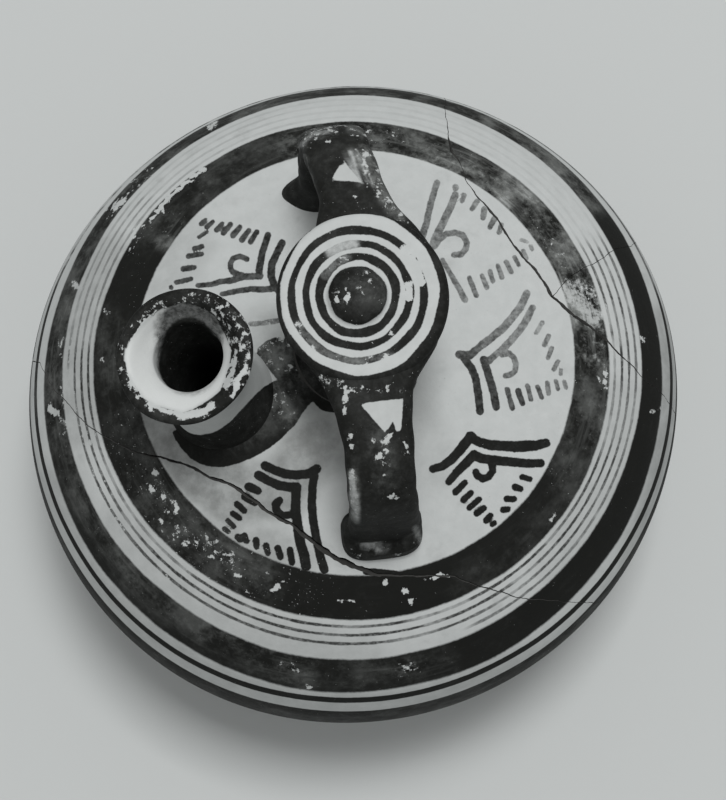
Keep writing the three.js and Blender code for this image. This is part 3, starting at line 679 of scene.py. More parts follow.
def break_wall(line, closed):
    """A thin ragged wall along a break line, from inside the body to outside it."""
    rows = np.array(line + line[:1] if closed else line, float)
    turn, slope = np.radians(rows[:, 0]), np.radians(rows[:, 1])
    run = run_along(on_skin(turn, slope))
    marks = np.linspace(0, run[-1], int(run[-1] / BREAK_STEP) + 1)
    marks = marks[:-1] if closed else marks
    turn, slope, width = (np.interp(marks, run, column) for column in (turn, slope, rows[:, 2]))
    points = on_skin(turn, slope) - CENTRE
    along = np.gradient(points, axis=0)
    if closed:
        along = np.roll(points, -1, 0) - np.roll(points, 1, 0)
    aside = np.cross(along, points)
    aside /= np.linalg.norm(aside, axis=1)[:, None]
    ragged = waves(marks, (.16, .40, 1), (.07, 1.3, .4), (.035, 3.7, 2), (.02, 8.3, 0))
    points = points + aside * ragged[:, None]
    half = aside * (width * (1 + waves(marks, (.18, 1.1, 2), (.14, 2.9, 1))) / 2)[:, None]
    length = np.linalg.norm(points, axis=1)[:, None]
    inner = points * (1 - BREAK_INSIDE / length) + CENTRE
    outer = points * (1 + BREAK_OUTSIDE / length) + CENTRE
    return skinned(np.stack([inner - half, inner + half, outer + half, outer - half], 1), closed)


def spout_place():
    """Where the spout stands on the shoulder, and how it leans."""
    turn = Matrix.Rotation(math.radians(SPOUT_TURN), 4, "Z")
    reach = Matrix.Translation((-SPOUT_REACH, 0, shoulder_height(SPOUT_REACH)))
    return turn @ reach @ Matrix.Rotation(-math.radians(SPOUT_LEAN), 4, "Y")


# Ovalness of the body as a share of its radius, its direction, and the height by which it has set in.
OVAL = 0.008
OVAL_TURN = math.radians(34.5)
OVAL_FROM = 25.0


def by_hand(points):
    """The slight ovalness and unevenness of a jar thrown by hand."""
    turn, radius = polar(points)
    slope = np.arctan2(points[:, 2] - BELLY_HEIGHT, radius)
    high = smooth(points[:, 2], FOOT_HEIGHT, OVAL_FROM)
    uneven = waves(turn, (.18, 3, 1.0), (.10, 5, .3)) * np.cos(slope * 2) + .12 * np.sin(2 * turn + 4 * slope)
    uneven = uneven + .035 * np.sin(slope * 62 + .8 * np.sin(turn + 1)) * np.cos(slope)
    shift = high * (uneven + OVAL * radius * np.cos(2 * (turn - OVAL_TURN)))
    out = points - CENTRE
    out = out / np.maximum(np.linalg.norm(out, axis=1), 1e-6)[:, None]
    return points + out * shift[:, None]


def make_body():
    """The hollow body, drilled for the spout and broken into its main piece and the sherds."""
    body = build("painted_body", *skinned(turned_grid(body_profile(), BODY_SIDES)))
    depth = 3 * WALL
    hole = turned_grid([(SPOUT_BORE_RADIUS, -depth), (SPOUT_BORE_RADIUS, depth)], DRILL_SIDES)
    drill = build("drill", *skinned(hole))
    drill.data.transform(spout_place())
    cut(body, drill)
    for line, closed in ((RIGHT_BREAK, True), (FRONT_BREAK, True), (CROSS_BREAK, False)):
        cut(body, build("wall", *break_wall(line, closed)))
    before = set(bpy.data.objects)
    bpy.ops.object.select_all(action="DESELECT")
    bpy.context.view_layer.objects.active = body
    body.select_set(True)
    bpy.ops.mesh.separate(type="LOOSE")
    parts = [body] + [o for o in bpy.data.objects if o not in before]
    parts.sort(key=lambda o: -len(o.data.vertices))
    main, *sherds = parts[:1 + len(SHERDS)]
    for crumb in parts[1 + len(SHERDS):]:
        bpy.data.objects.remove(crumb)
    pieces = {"body_main": main}
    for sherd in sherds:
        middle = points_of(sherd).mean(0)
        angle = math.atan2(middle[1], middle[0])
        pieces[max(SHERDS, key=lambda name: math.cos(angle - math.radians(SHERDS[name])))] = sherd
    return pieces


# Off-centre rings that the edges of the bands follow: centre x and y, radius, ovalness and its turn.
BAND_1_IN = (.02, -.11, 50.33, 0, 0)
BAND_1_OUT = (-.82, -.14, 59.64, 0, 0)
BAND_2_IN = (-.33, 1.0, 68.35, .65, 65)
BAND_2_OUT = (-.08, .04, 74.05, .85, 60)
# Each band has its inner and outer ring and the share of the brush's sway that it takes.
BANDS = ((BAND_1_IN, BAND_1_OUT, .55), (BAND_2_IN, BAND_2_OUT, .45))
# Softness of the bands' edges, and the heights between which the shoulder's bands set in.
BAND_SOFTNESS = .26
BANDS_ABOVE = (62.0, 63.0)
# Fine lines between the bands: place from one band to the other, ink, and whether it is missing in places.
FINE_LINES = ((.16, .95, False), (.38, .95, False), (.60, .9, False), (.82, .75, True))
# Half widths between which a fine line's edge fades, as shares of the space between the bands.
FINE_LINE_EDGE = (.078, .046)
# Lines and bands at a level, as low and high edges: the line below the second band, then those lower down.
EDGE_LINE = (71.3, 73.4)
LOWER_BANDS = ((45, 67.2), (39.6, 40.5), (36.4, 37.3), (33.2, 34.1), (22, 29.5), (5.8, 9.5))
LEVEL_SOFTNESS = .15

CLAY_LIGHT = (.54, .56, .555, 1)
CLAY_DARK = (.43, .45, .445, 1)
CLAY_STAIN = (.18, .187, .182, 1)
CLAY_PALE = (.76, .78, .77, 1)
PAINT_DARK = (.0075, .008, .007, 1)
PAINT_WORN = (.17, .178, .172, 1)
BREAK_CLAY = (.07, .07, .066, 1)
BREAK_DARK = (.03, .03, .028, 1)


class Shade:
    """A material made of nodes, with positions in millimetres."""

    def __init__(self, name):
        self.material = bpy.data.materials.new(name)
        self.material.use_nodes = True
        self.tree = self.material.node_tree
        self.surface = self.tree.nodes["Principled BSDF"]
        spot = self.add("ShaderNodeTexCoord").outputs["Object"]
        scaled = self.add("ShaderNodeVectorMath", {0: spot, "Scale": 1 / MM}, operation="SCALE")
        self.spot = scaled.outputs[0]
        self.x, self.y, self.z = self.add("ShaderNodeSeparateXYZ", {0: self.spot}).outputs

    def add(self, kind, inputs=None, **settings):
        node = self.tree.nodes.new(kind)
        for key, value in settings.items():
            setattr(node, key, value)
        for key, value in (inputs or {}).items():
            self.put(node.inputs[key], value)
        return node

    def put(self, socket, value):
        if isinstance(value, bpy.types.NodeSocket):
            self.tree.links.new(value, socket)
        else:
            socket.default_value = value

    def show(self, name, value):
        self.put(self.surface.inputs[name], value)

    def math(self, operation, *values):
        return self.add("ShaderNodeMath", dict(enumerate(values)), operation=operation).outputs[0]

    def chain(self, operation, total, *others):
        for other in others:
            total = self.math(operation, total, other)
        return total

    def sum(self, *values):
        return self.chain("ADD", *values)

    def times(self, *values):
        return self.chain("MULTIPLY", *values)

    def most(self, *values):
        return self.chain("MAXIMUM", *values)

    def least(self, *values):
        return self.chain("MINIMUM", *values)

    def minus(self, value, other):
        return self.math("SUBTRACT", value, other)

    def over(self, value, other):
        return self.math("DIVIDE", value, other)

    def rest(self, value):
        return self.minus(1.0, value)

    def scaled(self, value, factor, added):
        return self.math("MULTIPLY_ADD", value, factor, added)

    def span(self, value, low, high, to_low=0.0, to_high=1.0):
        inputs = {"Value": value, "From Min": low, "From Max": high, "To Min": to_low, "To Max": to_high}
        return self.add("ShaderNodeMapRange", inputs, interpolation_type="SMOOTHSTEP").outputs["Result"]

    def noise(self, rate, detail=3.0, rough=.55, shift=0.0):
        spot = self.spot
        if shift:
            inputs = {"Vector": spot, "Location": (shift, shift * .7, -shift)}
            spot = self.add("ShaderNodeMapping", inputs).outputs[0]
        inputs = {"Vector": spot, "Scale": rate, "Detail": detail, "Roughness": rough}
        return self.add("ShaderNodeTexNoise", inputs).outputs["Fac"]

    def streaks(self, around, across):
        """Noise drawn out round the axis, as a turned pot is brushed."""
        radius = self.math("SQRT", self.sum(self.times(self.x, self.x), self.times(self.y, self.y)))
        turn = self.over(around, self.most(radius, 1.0))
        spot = {0: self.times(self.x, turn), 1: self.times(self.y, turn), 2: self.times(self.z, across)}
        spot = self.add("ShaderNodeCombineXYZ", spot).outputs[0]
        inputs = {"Vector": spot, "W": self.times(radius, across), "Scale": 1, "Detail": 4, "Roughness": .6}
        return self.add("ShaderNodeTexNoise", inputs, noise_dimensions="4D").outputs["Fac"]

    def value(self, name):
        return self.add("ShaderNodeAttribute", attribute_name=name).outputs["Fac"]

    def blend(self, share, first, second):
        node = self.add("ShaderNodeMix", data_type="RGBA")
        for index, value in ((0, share), (6, first), (7, second)):
            self.put(node.inputs[index], value)
        return node.outputs[2]

    def ring(self, circle):
        """Distance from an off-centre, slightly oval ring, below 0 inside it."""
        middle_x, middle_y, radius, oval, turn = circle
        x, y = self.minus(self.x, middle_x), self.minus(self.y, middle_y)
        xx, yy = self.times(x, x), self.times(y, y)
        away = self.math("SQRT", self.sum(xx, yy))
        gap = self.minus(away, radius)
        if oval:
            turn = 2 * math.radians(turn)
            upright = self.times(self.minus(xx, yy), oval * math.cos(turn))
            slant = self.times(x, y, 2 * oval * math.sin(turn))
            gap = self.minus(gap, self.over(self.sum(upright, slant), self.times(away, away)))
        return gap

    def between(self, level, low, high):
        """Cover of a band between two levels, with slightly soft edges."""
        start = self.span(level, low - LEVEL_SOFTNESS, low + LEVEL_SOFTNESS)
        return self.times(start, self.span(level, high + LEVEL_SOFTNESS, high - LEVEL_SOFTNESS))


def turned_bands(s, shake, upper):
    """How much of the two broad bands on the shoulder covers the body."""
    covers = []
    for inner, outer, share in BANDS:
        wobble = s.times(shake, share)
        start = s.span(s.sum(s.ring(inner), wobble), -BAND_SOFTNESS, BAND_SOFTNESS)
        stop = s.span(s.sum(s.ring(outer), wobble), BAND_SOFTNESS, -BAND_SOFTNESS)
        covers.append(s.times(start, stop, upper))
    return s.most(*covers)


def fine_lines(s, ragged, sway, upper):
    """How much of each fine line between the bands covers the body."""
    near, far = s.ring(BAND_1_OUT), s.ring(BAND_2_IN)
    place = s.sum(s.over(near, s.minus(near, far)), s.times(sway, .016))
    covers = []
    for i, (spot, ink, missing) in enumerate(FINE_LINES):
        gap = s.math("ABSOLUTE", s.minus(place, spot))
        patchy = s.span(s.noise(.055, 4, .7, 11.0 + 5 * i), .34, .54, .35, 1.0)
        gap = s.scaled(s.noise(.22, 4, .65, 17.0 + 5 * i), .05, gap)
        gap = s.scaled(ragged, .012, gap)
        dots = s.span(s.noise(.95, 5, .72, 23.0 + 5 * i), .34, .56, .68, 1.0)
        line = s.times(s.span(gap, *FINE_LINE_EDGE), patchy, dots, ink, upper, s.rest(s.value("dim")))
        covers.append(s.times(line, s.rest(s.value("few"))) if missing else line)
    return covers


def body_bands(s, ragged):
    """How much of the turned bands and lines covers the body."""
    sway = s.scaled(s.noise(.045, 2, .5, 7.0), 2.2, -1.1)
    shake = s.scaled(ragged, .32, sway)
    upper = s.span(s.z, *BANDS_ABOVE)
    level = s.sum(s.z, s.times(shake, .35))
    worn = s.times(s.value("edge"), s.span(s.noise(.13, 5, .7, 97.0), .36, .56))
    edge = s.times(s.between(level, *EDGE_LINE), s.rest(worn))
    lower = [s.between(level, low, high) for low, high in LOWER_BANDS]
    return s.most(turned_bands(s, shake, upper), *fine_lines(s, ragged, sway, upper), edge, *lower)


# How strongly the paint's grain lightens a stroke.
GRAIN = .36


def pottery(name, bands=None):
    """Pale fired clay under dark brushed paint that is worn, chipped, cloudy and speckled, with painted
    sheen, highlights, shade and light.
    """
    s = Shade(name)
    haze, rub, faded = s.value("haze"), s.value("rub"), s.value("faded")
    fine = s.noise(1.6, 4, .6)
    grain = s.span(s.noise(.75, 5, .68, 13.0), .32, .68)
    ragged = s.sum(s.scaled(fine, 1.6, -.8), s.scaled(s.noise(.5, 3, .5, 3.0), 1.4, -.7))

    # Brushed paint, with a grain where it is faded.
    spread = s.scaled(s.times(faded, s.rest(faded)), 4 * GRAIN, GRAIN / 12)
    strength = s.least(s.most(s.scaled(s.minus(.5, grain), spread, faded), 0.0), 1.0)
    painted = s.times(s.span(s.sum(s.value("ink"), ragged), .6, -.6), strength)
    if bands:
        painted = s.most(painted, bands(s, ragged))

    # Lost paint: chips, flecks, nicks and specks.
    torn = s.scaled(s.noise(.62, 6, .66, 5.0), 15.0, -7.5)
    lost = s.span(s.sum(s.value("chip"), torn), .5, -.5)
    flecks = s.span(s.sum(s.noise(.85, 5, .68, 19.0), s.times(rub, .075)), .735, .765)
    nicks = s.span(s.sum(s.noise(.16, 6, .72, 29.0), s.times(rub, .06)), .735, .755)
    specks = s.span(s.sum(s.noise(2.6, 2, .5, 31.0), s.times(rub, .05)), .765, .79)
    bare = s.most(lost, flecks, nicks, specks)

    # Thin paint, which is cloudy and at its thinnest lets the clay through; the same grey also paints sheen
    # and highlights.
    cloud = s.span(s.noise(.10, 6, .68, 41.0), .42, .68)
    smear = s.span(s.noise(.45, 6, .70, 53.0), .44, .72)
    if bands:
        smear = s.most(s.times(smear, .75), s.times(s.span(s.streaks(4.0, .6), .48, .74), .85))
    thin = s.times(haze, s.sum(s.times(cloud, .95), s.times(smear, .80)))
    thin = s.sum(thin, s.times(smear, cloud, .06))
    wash = s.sum(s.times(smear, .55), s.times(grain, .5), s.times(cloud, .25), .28)
    washed = s.span(s.times(haze, wash), .95, 1.75, 0.0, .72)
    washed = s.most(s.least(s.minus(thin, 1.0), .85), washed)
    cover = s.times(painted, s.rest(bare), s.rest(washed))

    # Clay, with stains and specks; its darkened zones are partly painted shade, and the funnel's lightened
    # clay is painted light.
    dirt = s.times(s.value("dirt"), s.span(s.noise(.16, 6, .66, 59.0), .25, .72, .4, 1.0))
    stain = s.most(dirt, s.span(s.noise(.11, 5, .6, 61.0), .56, .80, 0.0, .28))
    speck = s.span(s.noise(1.9, 2, .5, 67.0), .72, .78, 0.0, .35)
    clay = s.blend(s.noise(.35, 5, .62, 71.0), CLAY_LIGHT, CLAY_DARK)
    clay = s.blend(s.most(stain, speck), clay, CLAY_STAIN)
    # Painted light on the spout's funnel.
    clay = s.blend(s.value("pale"), clay, CLAY_PALE)

    paint = s.blend(s.least(thin, 1.0), PAINT_DARK, PAINT_WORN)
    s.show("Base Color", s.blend(cover, clay, paint))
    s.show("Roughness", s.sum(s.times(cover, -.10), s.scaled(fine, .2, .70)))
    s.show("Specular IOR Level", .13)
    height = s.sum(s.times(fine, .10), s.times(cover, .05), s.times(s.noise(.35, 3, .5, 83.0), .25))
    bump = s.add("ShaderNodeBump", {"Height": height, "Strength": .35, "Distance": MM})
    s.show("Normal", bump.outputs[0])
    return s.material


def bare_clay():
    """The clay of the broken faces and the inside."""
    s = Shade("broken_clay")
    s.show("Base Color", s.blend(s.noise(1.2, 4), BREAK_CLAY, BREAK_DARK))
    s.show("Roughness", .9)
    return s.material


body_paint = pottery("body_paint", body_bands)
plain_paint = pottery("piece_paint")
clay_break = bare_clay()

# Edges sharper than this stay sharp.
SHARP_ANGLE = math.radians(50)


def finish_piece(piece, node, material):
    """Scales a piece to metres and lets it stand for its solid."""
    piece.data.transform(Matrix.Scale(MM, 4))
    piece.data.polygons.foreach_set("use_smooth", np.ones(len(piece.data.polygons), bool))
    piece.data.set_sharp_from_angle(angle=SHARP_ANGLE)
    if not piece.data.materials:
        piece.data.materials.append(material)
    piece.name = "painted_" + node
    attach(piece, "root")
    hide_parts(node)


# Pixels by which the wet paint spreads, in long strokes and in dashes.
LONG_SPREAD = 1.2
DASH_SPREAD = .4
# Pixels of the photograph to a millimetre, at the shoulder and on the spout.
SHOULDER_PIXELS = 4.4
SPOUT_PIXELS = 4.8
# Radius of the paint round the foot of the neck.
COLLAR_RADIUS = 15.5
# Heights above which the strokes lie, and between which the photograph's wear, painted sheen and painted
# shade take over from a guess.
STROKES_ABOVE = BELLY_HEIGHT + 8
SEEN_ABOVE = (BELLY_HEIGHT + 9, BELLY_HEIGHT + 17)
# Amount of each kind of wear, painted sheen and painted shade, and pixels added to the distance to chips,
# where nothing is seen.
HIDDEN_AMOUNT = .2
HIDDEN_CHIPS = 9
# Depth below the skin from which a face is broken or inside, and height up to which it is the base.
BROKEN_DEPTH = .06
BASE_MARGIN = .02


def widened(strokes):
    """Strokes as wide as their paint has spread."""
    rows = []
    for start, end, ink, *line in strokes:
        grow = LONG_SPREAD if len(line) > 2 else DASH_SPREAD
        rows.append((start + grow, end + grow, ink, *line))
    return rows


def show_breaks(mesh):
    """Gives the broken and inner faces of the body bare clay, and the others paint."""
    centres = np.zeros(len(mesh.polygons) * 3, np.float32)
    mesh.polygons.foreach_get("center", centres)
    centres = centres.reshape(-1, 3)
    inside = skin_depth(centres.astype(float)) < -BROKEN_DEPTH
    base = centres[:, 2] < FOOT_HEIGHT + BASE_MARGIN
    mesh.materials.clear()
    mesh.materials.append(body_paint)
    mesh.materials.append(clay_break)
    mesh.polygons.foreach_set("material_index", (inside & ~base).astype(np.int32))


def paint_body(node, piece):
    """Gives a piece of the body its uneven final shape and marks its paint."""
    show_breaks(piece.data)
    points = by_hand(points_of(piece))
    place(piece, points)
    pixels = project(points)
    strokes, ink = stroke_distance(pixels, widened(STROKES))
    pool = np.minimum(area_distance(pixels, SPOUT_LOOP), area_distance(pixels, NECK_PATCH))
    turn, radius = polar(points)
    collar = radius - COLLAR_RADIUS - waves(turn, (.5, 5, 0), (.4, 9, 2))
    shoulder = points[:, 2] > STROKES_ABOVE
    strokes = np.where(shoulder, strokes, FAR)
    pool = np.where(shoulder, np.minimum(pool, collar * SHOULDER_PIXELS), FAR)
    ink = np.where(pool < strokes, 1.0, ink)
    seen = smooth(points[:, 2], *SEEN_ABOVE)
    chips = worn_distance(pixels, BODY_WEAR, MOTTLED_BODY) + HIDDEN_CHIPS * (1 - seen)
    # Wear, thin paint with painted sheen, and stains with painted shade, from their zones.
    for name, zones in BODY_ZONES.items():
        mark(piece, **{name: HIDDEN_AMOUNT + (soft_zone(pixels, zones) - HIDDEN_AMOUNT) * seen})
    mark(piece, ink=np.clip(np.minimum(strokes, pool), -FAR, FAR), faded=ink, chip=np.minimum(chips, FAR))
    finish_piece(piece, node, body_paint)


# How far the neck is painted up from its foot and down from its top.
NECK_PAINT_LOW = 5
NECK_PAINT_HIGH = 7


def make_neck():
    """The false neck: a waisted tube on its seat."""
    seat, top = SEAT_LEVEL, NECK_TOP
    foot = [(14.6, seat - 1), (13.4, seat + .4), (11.2, seat + 3), (9.9, seat + 8), (9.5, seat + 15)]
    head = [(9.8, top - 9), (10.8, top - 3.5), (12.2, top + .3)]
    bore = [(NECK_BORE_RADIUS, top + .3), (NECK_BORE_RADIUS, seat - 1)]
    profile = np.vstack([curve(foot + head, .6), bore])
    piece = build("neck", *skinned(turned_grid(profile, NECK_SIDES), True))
    level = points_of(piece)[:, 2]
    ink = np.minimum(level - seat - NECK_PAINT_LOW, top - NECK_PAINT_HIGH - level) * SHOULDER_PIXELS
    mark(piece, ink=np.clip(ink, -FAR, FAR), faded=1.0, chip=FAR, haze=.2, rub=.3, dirt=.2)
    finish_piece(piece, "false_neck", plain_paint)


# Shift and stretch of the disc's rim, and the radii over which they set in.
DISC_SHIFT = LEVEL_RIGHT * 1.1 + LEVEL_AHEAD * .35
DISC_STRETCH = .028
DISC_RIM = (10, 17)
# Middle and half width of the painted rings, and the edge of the pale field, in pixels about their centres.
RING_CENTRE = (357.7, 295.1)
DISC_RINGS = ((38.2, 4.3), (51.6, 3.9), (65.9, 3.8))
BOSS_PAINT = 29.3
FIELD_CENTRE = (359.6, 294)
FIELD_RADII = (79.1, 81)
# Depth below the disc's top down to which its rings are painted.
RINGS_DEPTH = 1.5


def disc_ink(pixels, turn):
    """Pixels to the edge of the paint on top of the disc: its boss, three rings and rim."""
    away = np.hypot(*(pixels - RING_CENTRE).T)
    ink = away - BOSS_PAINT - waves(turn, (.5, 3, 1), (.3, 7, 0))
    for i, (middle, half) in enumerate(DISC_RINGS):
        middle = middle + waves(turn, (.5, 2, i), (.35, 5, 2 * i), (.2, 11, i))
        half = half * (1 + waves(turn, (.10, 3, 1.7 * i), (.08, 8, i)))
        ink = np.minimum(ink, np.abs(away - middle) - half)
    edge = 1 - np.hypot(*((pixels - FIELD_CENTRE) / FIELD_RADII).T)
    return np.minimum(ink, edge * FIELD_RADII[0] + waves(turn, (.7, 4, 1), (.5, 11, 2)))


def make_disc():
    """The disc that closes the neck, with its boss."""
    top, low = DISC_TOP, NECK_TOP - .2
    under = [(2, low), (7, low), (12.3, low), (14.4, low + .7), (16.4, low + 1.9), (17.5, low + 3.2)]
    edge = [(17.75, top - 1.7), (17.5, top - .8), (16.9, top - .25), (15.9, top), (14, top - .05)]
    boss = [(11, top - .15), (8.5, top - .2), (6.9, top - .1), (6.2, top + .35), (5.7, top + 1.2)]
    crown = [(4.6, top + 2.1), (3, top + 2.7), (1.4, top + 2.95), (.4, top + 3)]
    profile = curve(under + edge + boss + crown, .22)
    piece = build("disc_form", *skinned(turned_grid(profile, DISC_SIDES)))
    points = points_of(piece)
    turn, radius = polar(points)
    share = smooth(radius, *DISC_RIM)[:, None]
    points = points + share * (DISC_SHIFT + (points @ LEVEL_AHEAD)[:, None] * DISC_STRETCH * LEVEL_AHEAD)
    points[:, 2] += waves(turn, (.12, 2, 1), (.08, 3, 2)) * share[:, 0]
    place(piece, points)
    pixels = project(points)
    upper = points[:, 2] > top - RINGS_DEPTH
    ink = np.where(upper, disc_ink(pixels, turn), -FAR)
    worn = np.where(upper, worn_distance(pixels, DISC_WEAR, MOTTLED_DISC), FAR)
    faded = 1 - np.where(upper, soft_zone(pixels, DISC_FADED, fade=5.0), 0)
    # A painted highlight on the boss, and thin paint on the rim's lower edge.
    haze = .05 + soft_zone(pixels, DISC_HAZE)
    mark(piece, ink=np.clip(ink, -FAR, FAR), faded=faded, chip=worn, haze=haze, rub=.4, dirt=.1)
    finish_piece(piece, "disc", plain_paint)


# Shifts of the bore's upper end and of the lip, and the rises over which they set in and end.
BORE_SHIFT = LEVEL_RIGHT * -.2 + LEVEL_AHEAD
BORE_SHIFT_START = (17, 27)
BORE_SHIFT_END = (29.5, 34)
LIP_SHIFT = LEVEL_RIGHT * -1.05 + LEVEL_AHEAD * 1.25
LIP_SHIFT_START = (6, 30)
# Rise along the spout, and the radius inside which a point belongs to its bore or funnel.
INSIDE_LIMIT = ((-9, 9), (0, 8.4), (12, 8.3), (24, 8.6), (30, 10.6), (33, 12.2), (35, 12.8))
# Rises at which the lip spreads, its outer paint starts, the funnel starts, and below which the bore is
# painted dark as shade.
LIP_RISE = (24, 34)
LIP_PAINT = 30.6
FUNNEL_RISE = 27
DARK_RISE = (24, 27)
# The painted foot on the side that the photograph hides: height, and the azimuth at its middle.
FOOT_PAINT = 3.5
HIDDEN_SIDE = math.radians(150)
# Painted shade in the bore and on the funnel's upper wall: centre and radii in pixels, strength, and the soft
# edge.
DARK_BORE = (((189, 352), (33, 42), 1.0), ((190, 331), (36, 37), .85))
DARK_EDGE = (.78, 1.12)


def spout_form():
    """The spout upright on its own: its foot, lip, funnel and bore."""
    foot = [(13.6, -6), (13.2, -3), (11.9, 1), (10.7, 5), (10.15, 10), (10, 15), (10.3, 20), (11.1, 25)]
    lip = [(12.4, 29), (13.5, 31.6), (14, 32.9), (13.95, 33.7), (13.3, 34.2), (12.3, 34.2), (11.4, 33.8)]
    funnel = [(10.7, 33), (9.4, 31.2), (8.3, 29.6), (7.5, 28.4)]
    bore = [(7.4, 28.1), (7.3, 26), (7.1, 22), (6.8, 17), (6.6, 10), (6.6, -2), (6.6, -9)]
    profile = np.vstack([curve(foot + lip + funnel, .35), curve(bore, .6)])
    return build("spout_form", *skinned(turned_grid(profile, SPOUT_SIDES), True))


def make_spout():
    """The spout: a flared tube with a bore, leaning out on the shoulder."""
    piece = spout_form()
    points = points_of(piece)
    rise = points[:, 2].copy()
    turn, radius = polar(points)
    within = radius < np.interp(rise, *np.transpose(INSIDE_LIMIT))
    lip = smooth(rise, *LIP_RISE)
    points[:, :2] *= (1 + lip * (.025 + waves(turn, (.010, 2, .5), (.006, 3, 2), (.004, 7, 1))))[:, None]
    points[:, 2] += lip * waves(turn, (.25, 2, 1), (.12, 5, 0))
    aside = within * smooth(rise, *BORE_SHIFT_START) * (1 - smooth(rise, *BORE_SHIFT_END))
    place(piece, points + aside[:, None] * BORE_SHIFT)
    piece.data.transform(spout_place())
    points = points_of(piece) + smooth(rise, *LIP_SHIFT_START)[:, None] * LIP_SHIFT
    place(piece, points)

    pixels = project(points)
    funnel = np.where(rise > FUNNEL_RISE, -area_distance(pixels, FUNNEL_EDGE), FAR)
    band = np.minimum((LIP_PAINT - rise) * SPOUT_PIXELS, area_distance(pixels, SPOUT_LOOP))
    foot = (rise - FOOT_PAINT - waves(turn, (.5, 3, 1))) * SPOUT_PIXELS
    band = np.where(np.cos(turn - HIDDEN_SIDE) > -.2, np.minimum(band, foot), band)
    # Dark paint stands in for the shade in the bore and on the funnel's upper wall.
    deep = 1 - smooth(rise, *DARK_RISE)
    for middle, radii, strength in DARK_BORE:
        away = np.hypot(*((pixels - middle) / radii).T)
        deep = np.maximum(deep, strength * (1 - smooth(away, *DARK_EDGE)))
    hollow = within & (funnel > -.5)
    dark = hollow & (deep > .02)
    ink = np.where(dark, -FAR, np.where(within, funnel, band))
    worn = np.where(rise > LIP_RISE[0], worn_distance(pixels, SPOUT_WEAR, MOTTLED_SPOUT), FAR)
    worn = np.where(dark, FAR, worn)
    faded = np.where(hollow, deep, 1.0)
    # The bare funnel wall is lightened as painted light.
    pale = np.where(within, .55 * smooth(funnel, -2, 3) * smooth(rise, 24, 30), 0)
    mark(piece, ink=np.clip(ink, -FAR, FAR), faded=faded, chip=worn, haze=.06, rub=.5, dirt=.1, pale=pale)
    finish_piece(piece, "spout", plain_paint)


# Sides of each strap: run along its middle line, then the two edges across it.
FRONT_EDGES = [
    (0, -13.5, 15.8), (3, -11.3, 14.2), (6, -9.7, 11.4), (9, -8.4, 9.6), (12, -7.6, 8.8), (16, -7, 8.1),
    (20, -6.6, 7.8), (26, -6.5, 7.6), (32, -6.6, 7.6), (40, -6.5, 8), (48, -6.3, 8.6), (54, -6.6, 9),
    (58, -7.6, 9.5), (61, -8.3, 9.7), (68, -8.5, 9.8),
]
BACK_EDGES = [
    (0, -9, 16.8), (4, -8, 15), (8, -6.4, 12.1), (11, -5.2, 10.4), (15, -5, 8.9), (20, -6.2, 8),
    (25, -7, 7.3), (30, -7.5, 7), (36, -7.6, 6.9), (44, -7.8, 6), (52, -8, 5), (56.5, -8.2, 4.6),
    (59, -8.6, 4.5), (60.6, -12, 4.5), (68, -12.6, 4.5),
]
STRAP_START = 9.5
STRAP_REACH = 40.3
STRAP_BEND = 13.5
STRAP_SINK = 5.0
STRAP_HALF = 3.5
STRAP_STEP = .6
# The strap's lift at the disc and the run over which it ends, and the roundness of its section.
STRAP_LIFT = 1.9
LIFT_RUN = (8, 24)
ROUNDNESS = .62
# Distances from the shoulder over which the foot's pad and the swelling above it set in.
PAD_RISE = (2.2, 3.6)
SWELL_RISE = (0, 14)
# Runs at which the bare underside and the triangle's top face end.
UNDERSIDE_END = 30.0
TRIANGLE_END = 40.0
# How far round the section the faces in sight, the top and the underside reach, from 1 on top to -1.
SIGHT_LIMIT = -.4
TOP_LIMIT = -.2
UNDERSIDE_LIMIT = -.55
# Where the back strap passes out of the photograph's sight, along its middle line.
HIDDEN_RUN = (40.0, 47.0)


def strap_line(foot_reach):
    """The strap's middle line from the disc to the shoulder, as reach and height, and the run along it."""
    turn = np.linspace(0, 1, 40)[:, None]
    start = np.array([STRAP_REACH - STRAP_BEND, STRAP_LEVEL])
    elbow = np.array([STRAP_REACH, STRAP_LEVEL])
    end = np.array([STRAP_REACH, STRAP_LEVEL - STRAP_BEND])
    bend = start * (1 - turn) ** 2 + 2 * elbow * turn * (1 - turn) + end * turn**2
    foot = (foot_reach, shoulder_height(foot_reach) - STRAP_SINK)
    line = even(np.vstack([[(STRAP_START, STRAP_LEVEL)], bend, [foot]]), STRAP_STEP)
    run = run_along(line)
    line[:, 1] += STRAP_LIFT * (1 - smooth(run, *LIFT_RUN))
    return line, run


def strap_edge(run, edges, column):
    """One edge of a strap along its run, softened over seven steps."""
    rows = np.array(edges, float)
    edge = np.pad(np.interp(run, rows[:, 0], rows[:, column]), 3, "edge")
    return np.convolve(edge, np.ones(7) / 7, "valid")[:, None]


def squared(value):
    """A sine or cosine drawn towards a rounded square."""
    return np.sign(value) * np.abs(value) ** ROUNDNESS


def over_grid(round_it, along_it):
    """Values over a strap's points from those round it and along it, and 0 at the middles of its ends."""
    return np.r_[(along_it[:, None] * round_it[None, :]).ravel(), 0, 0]


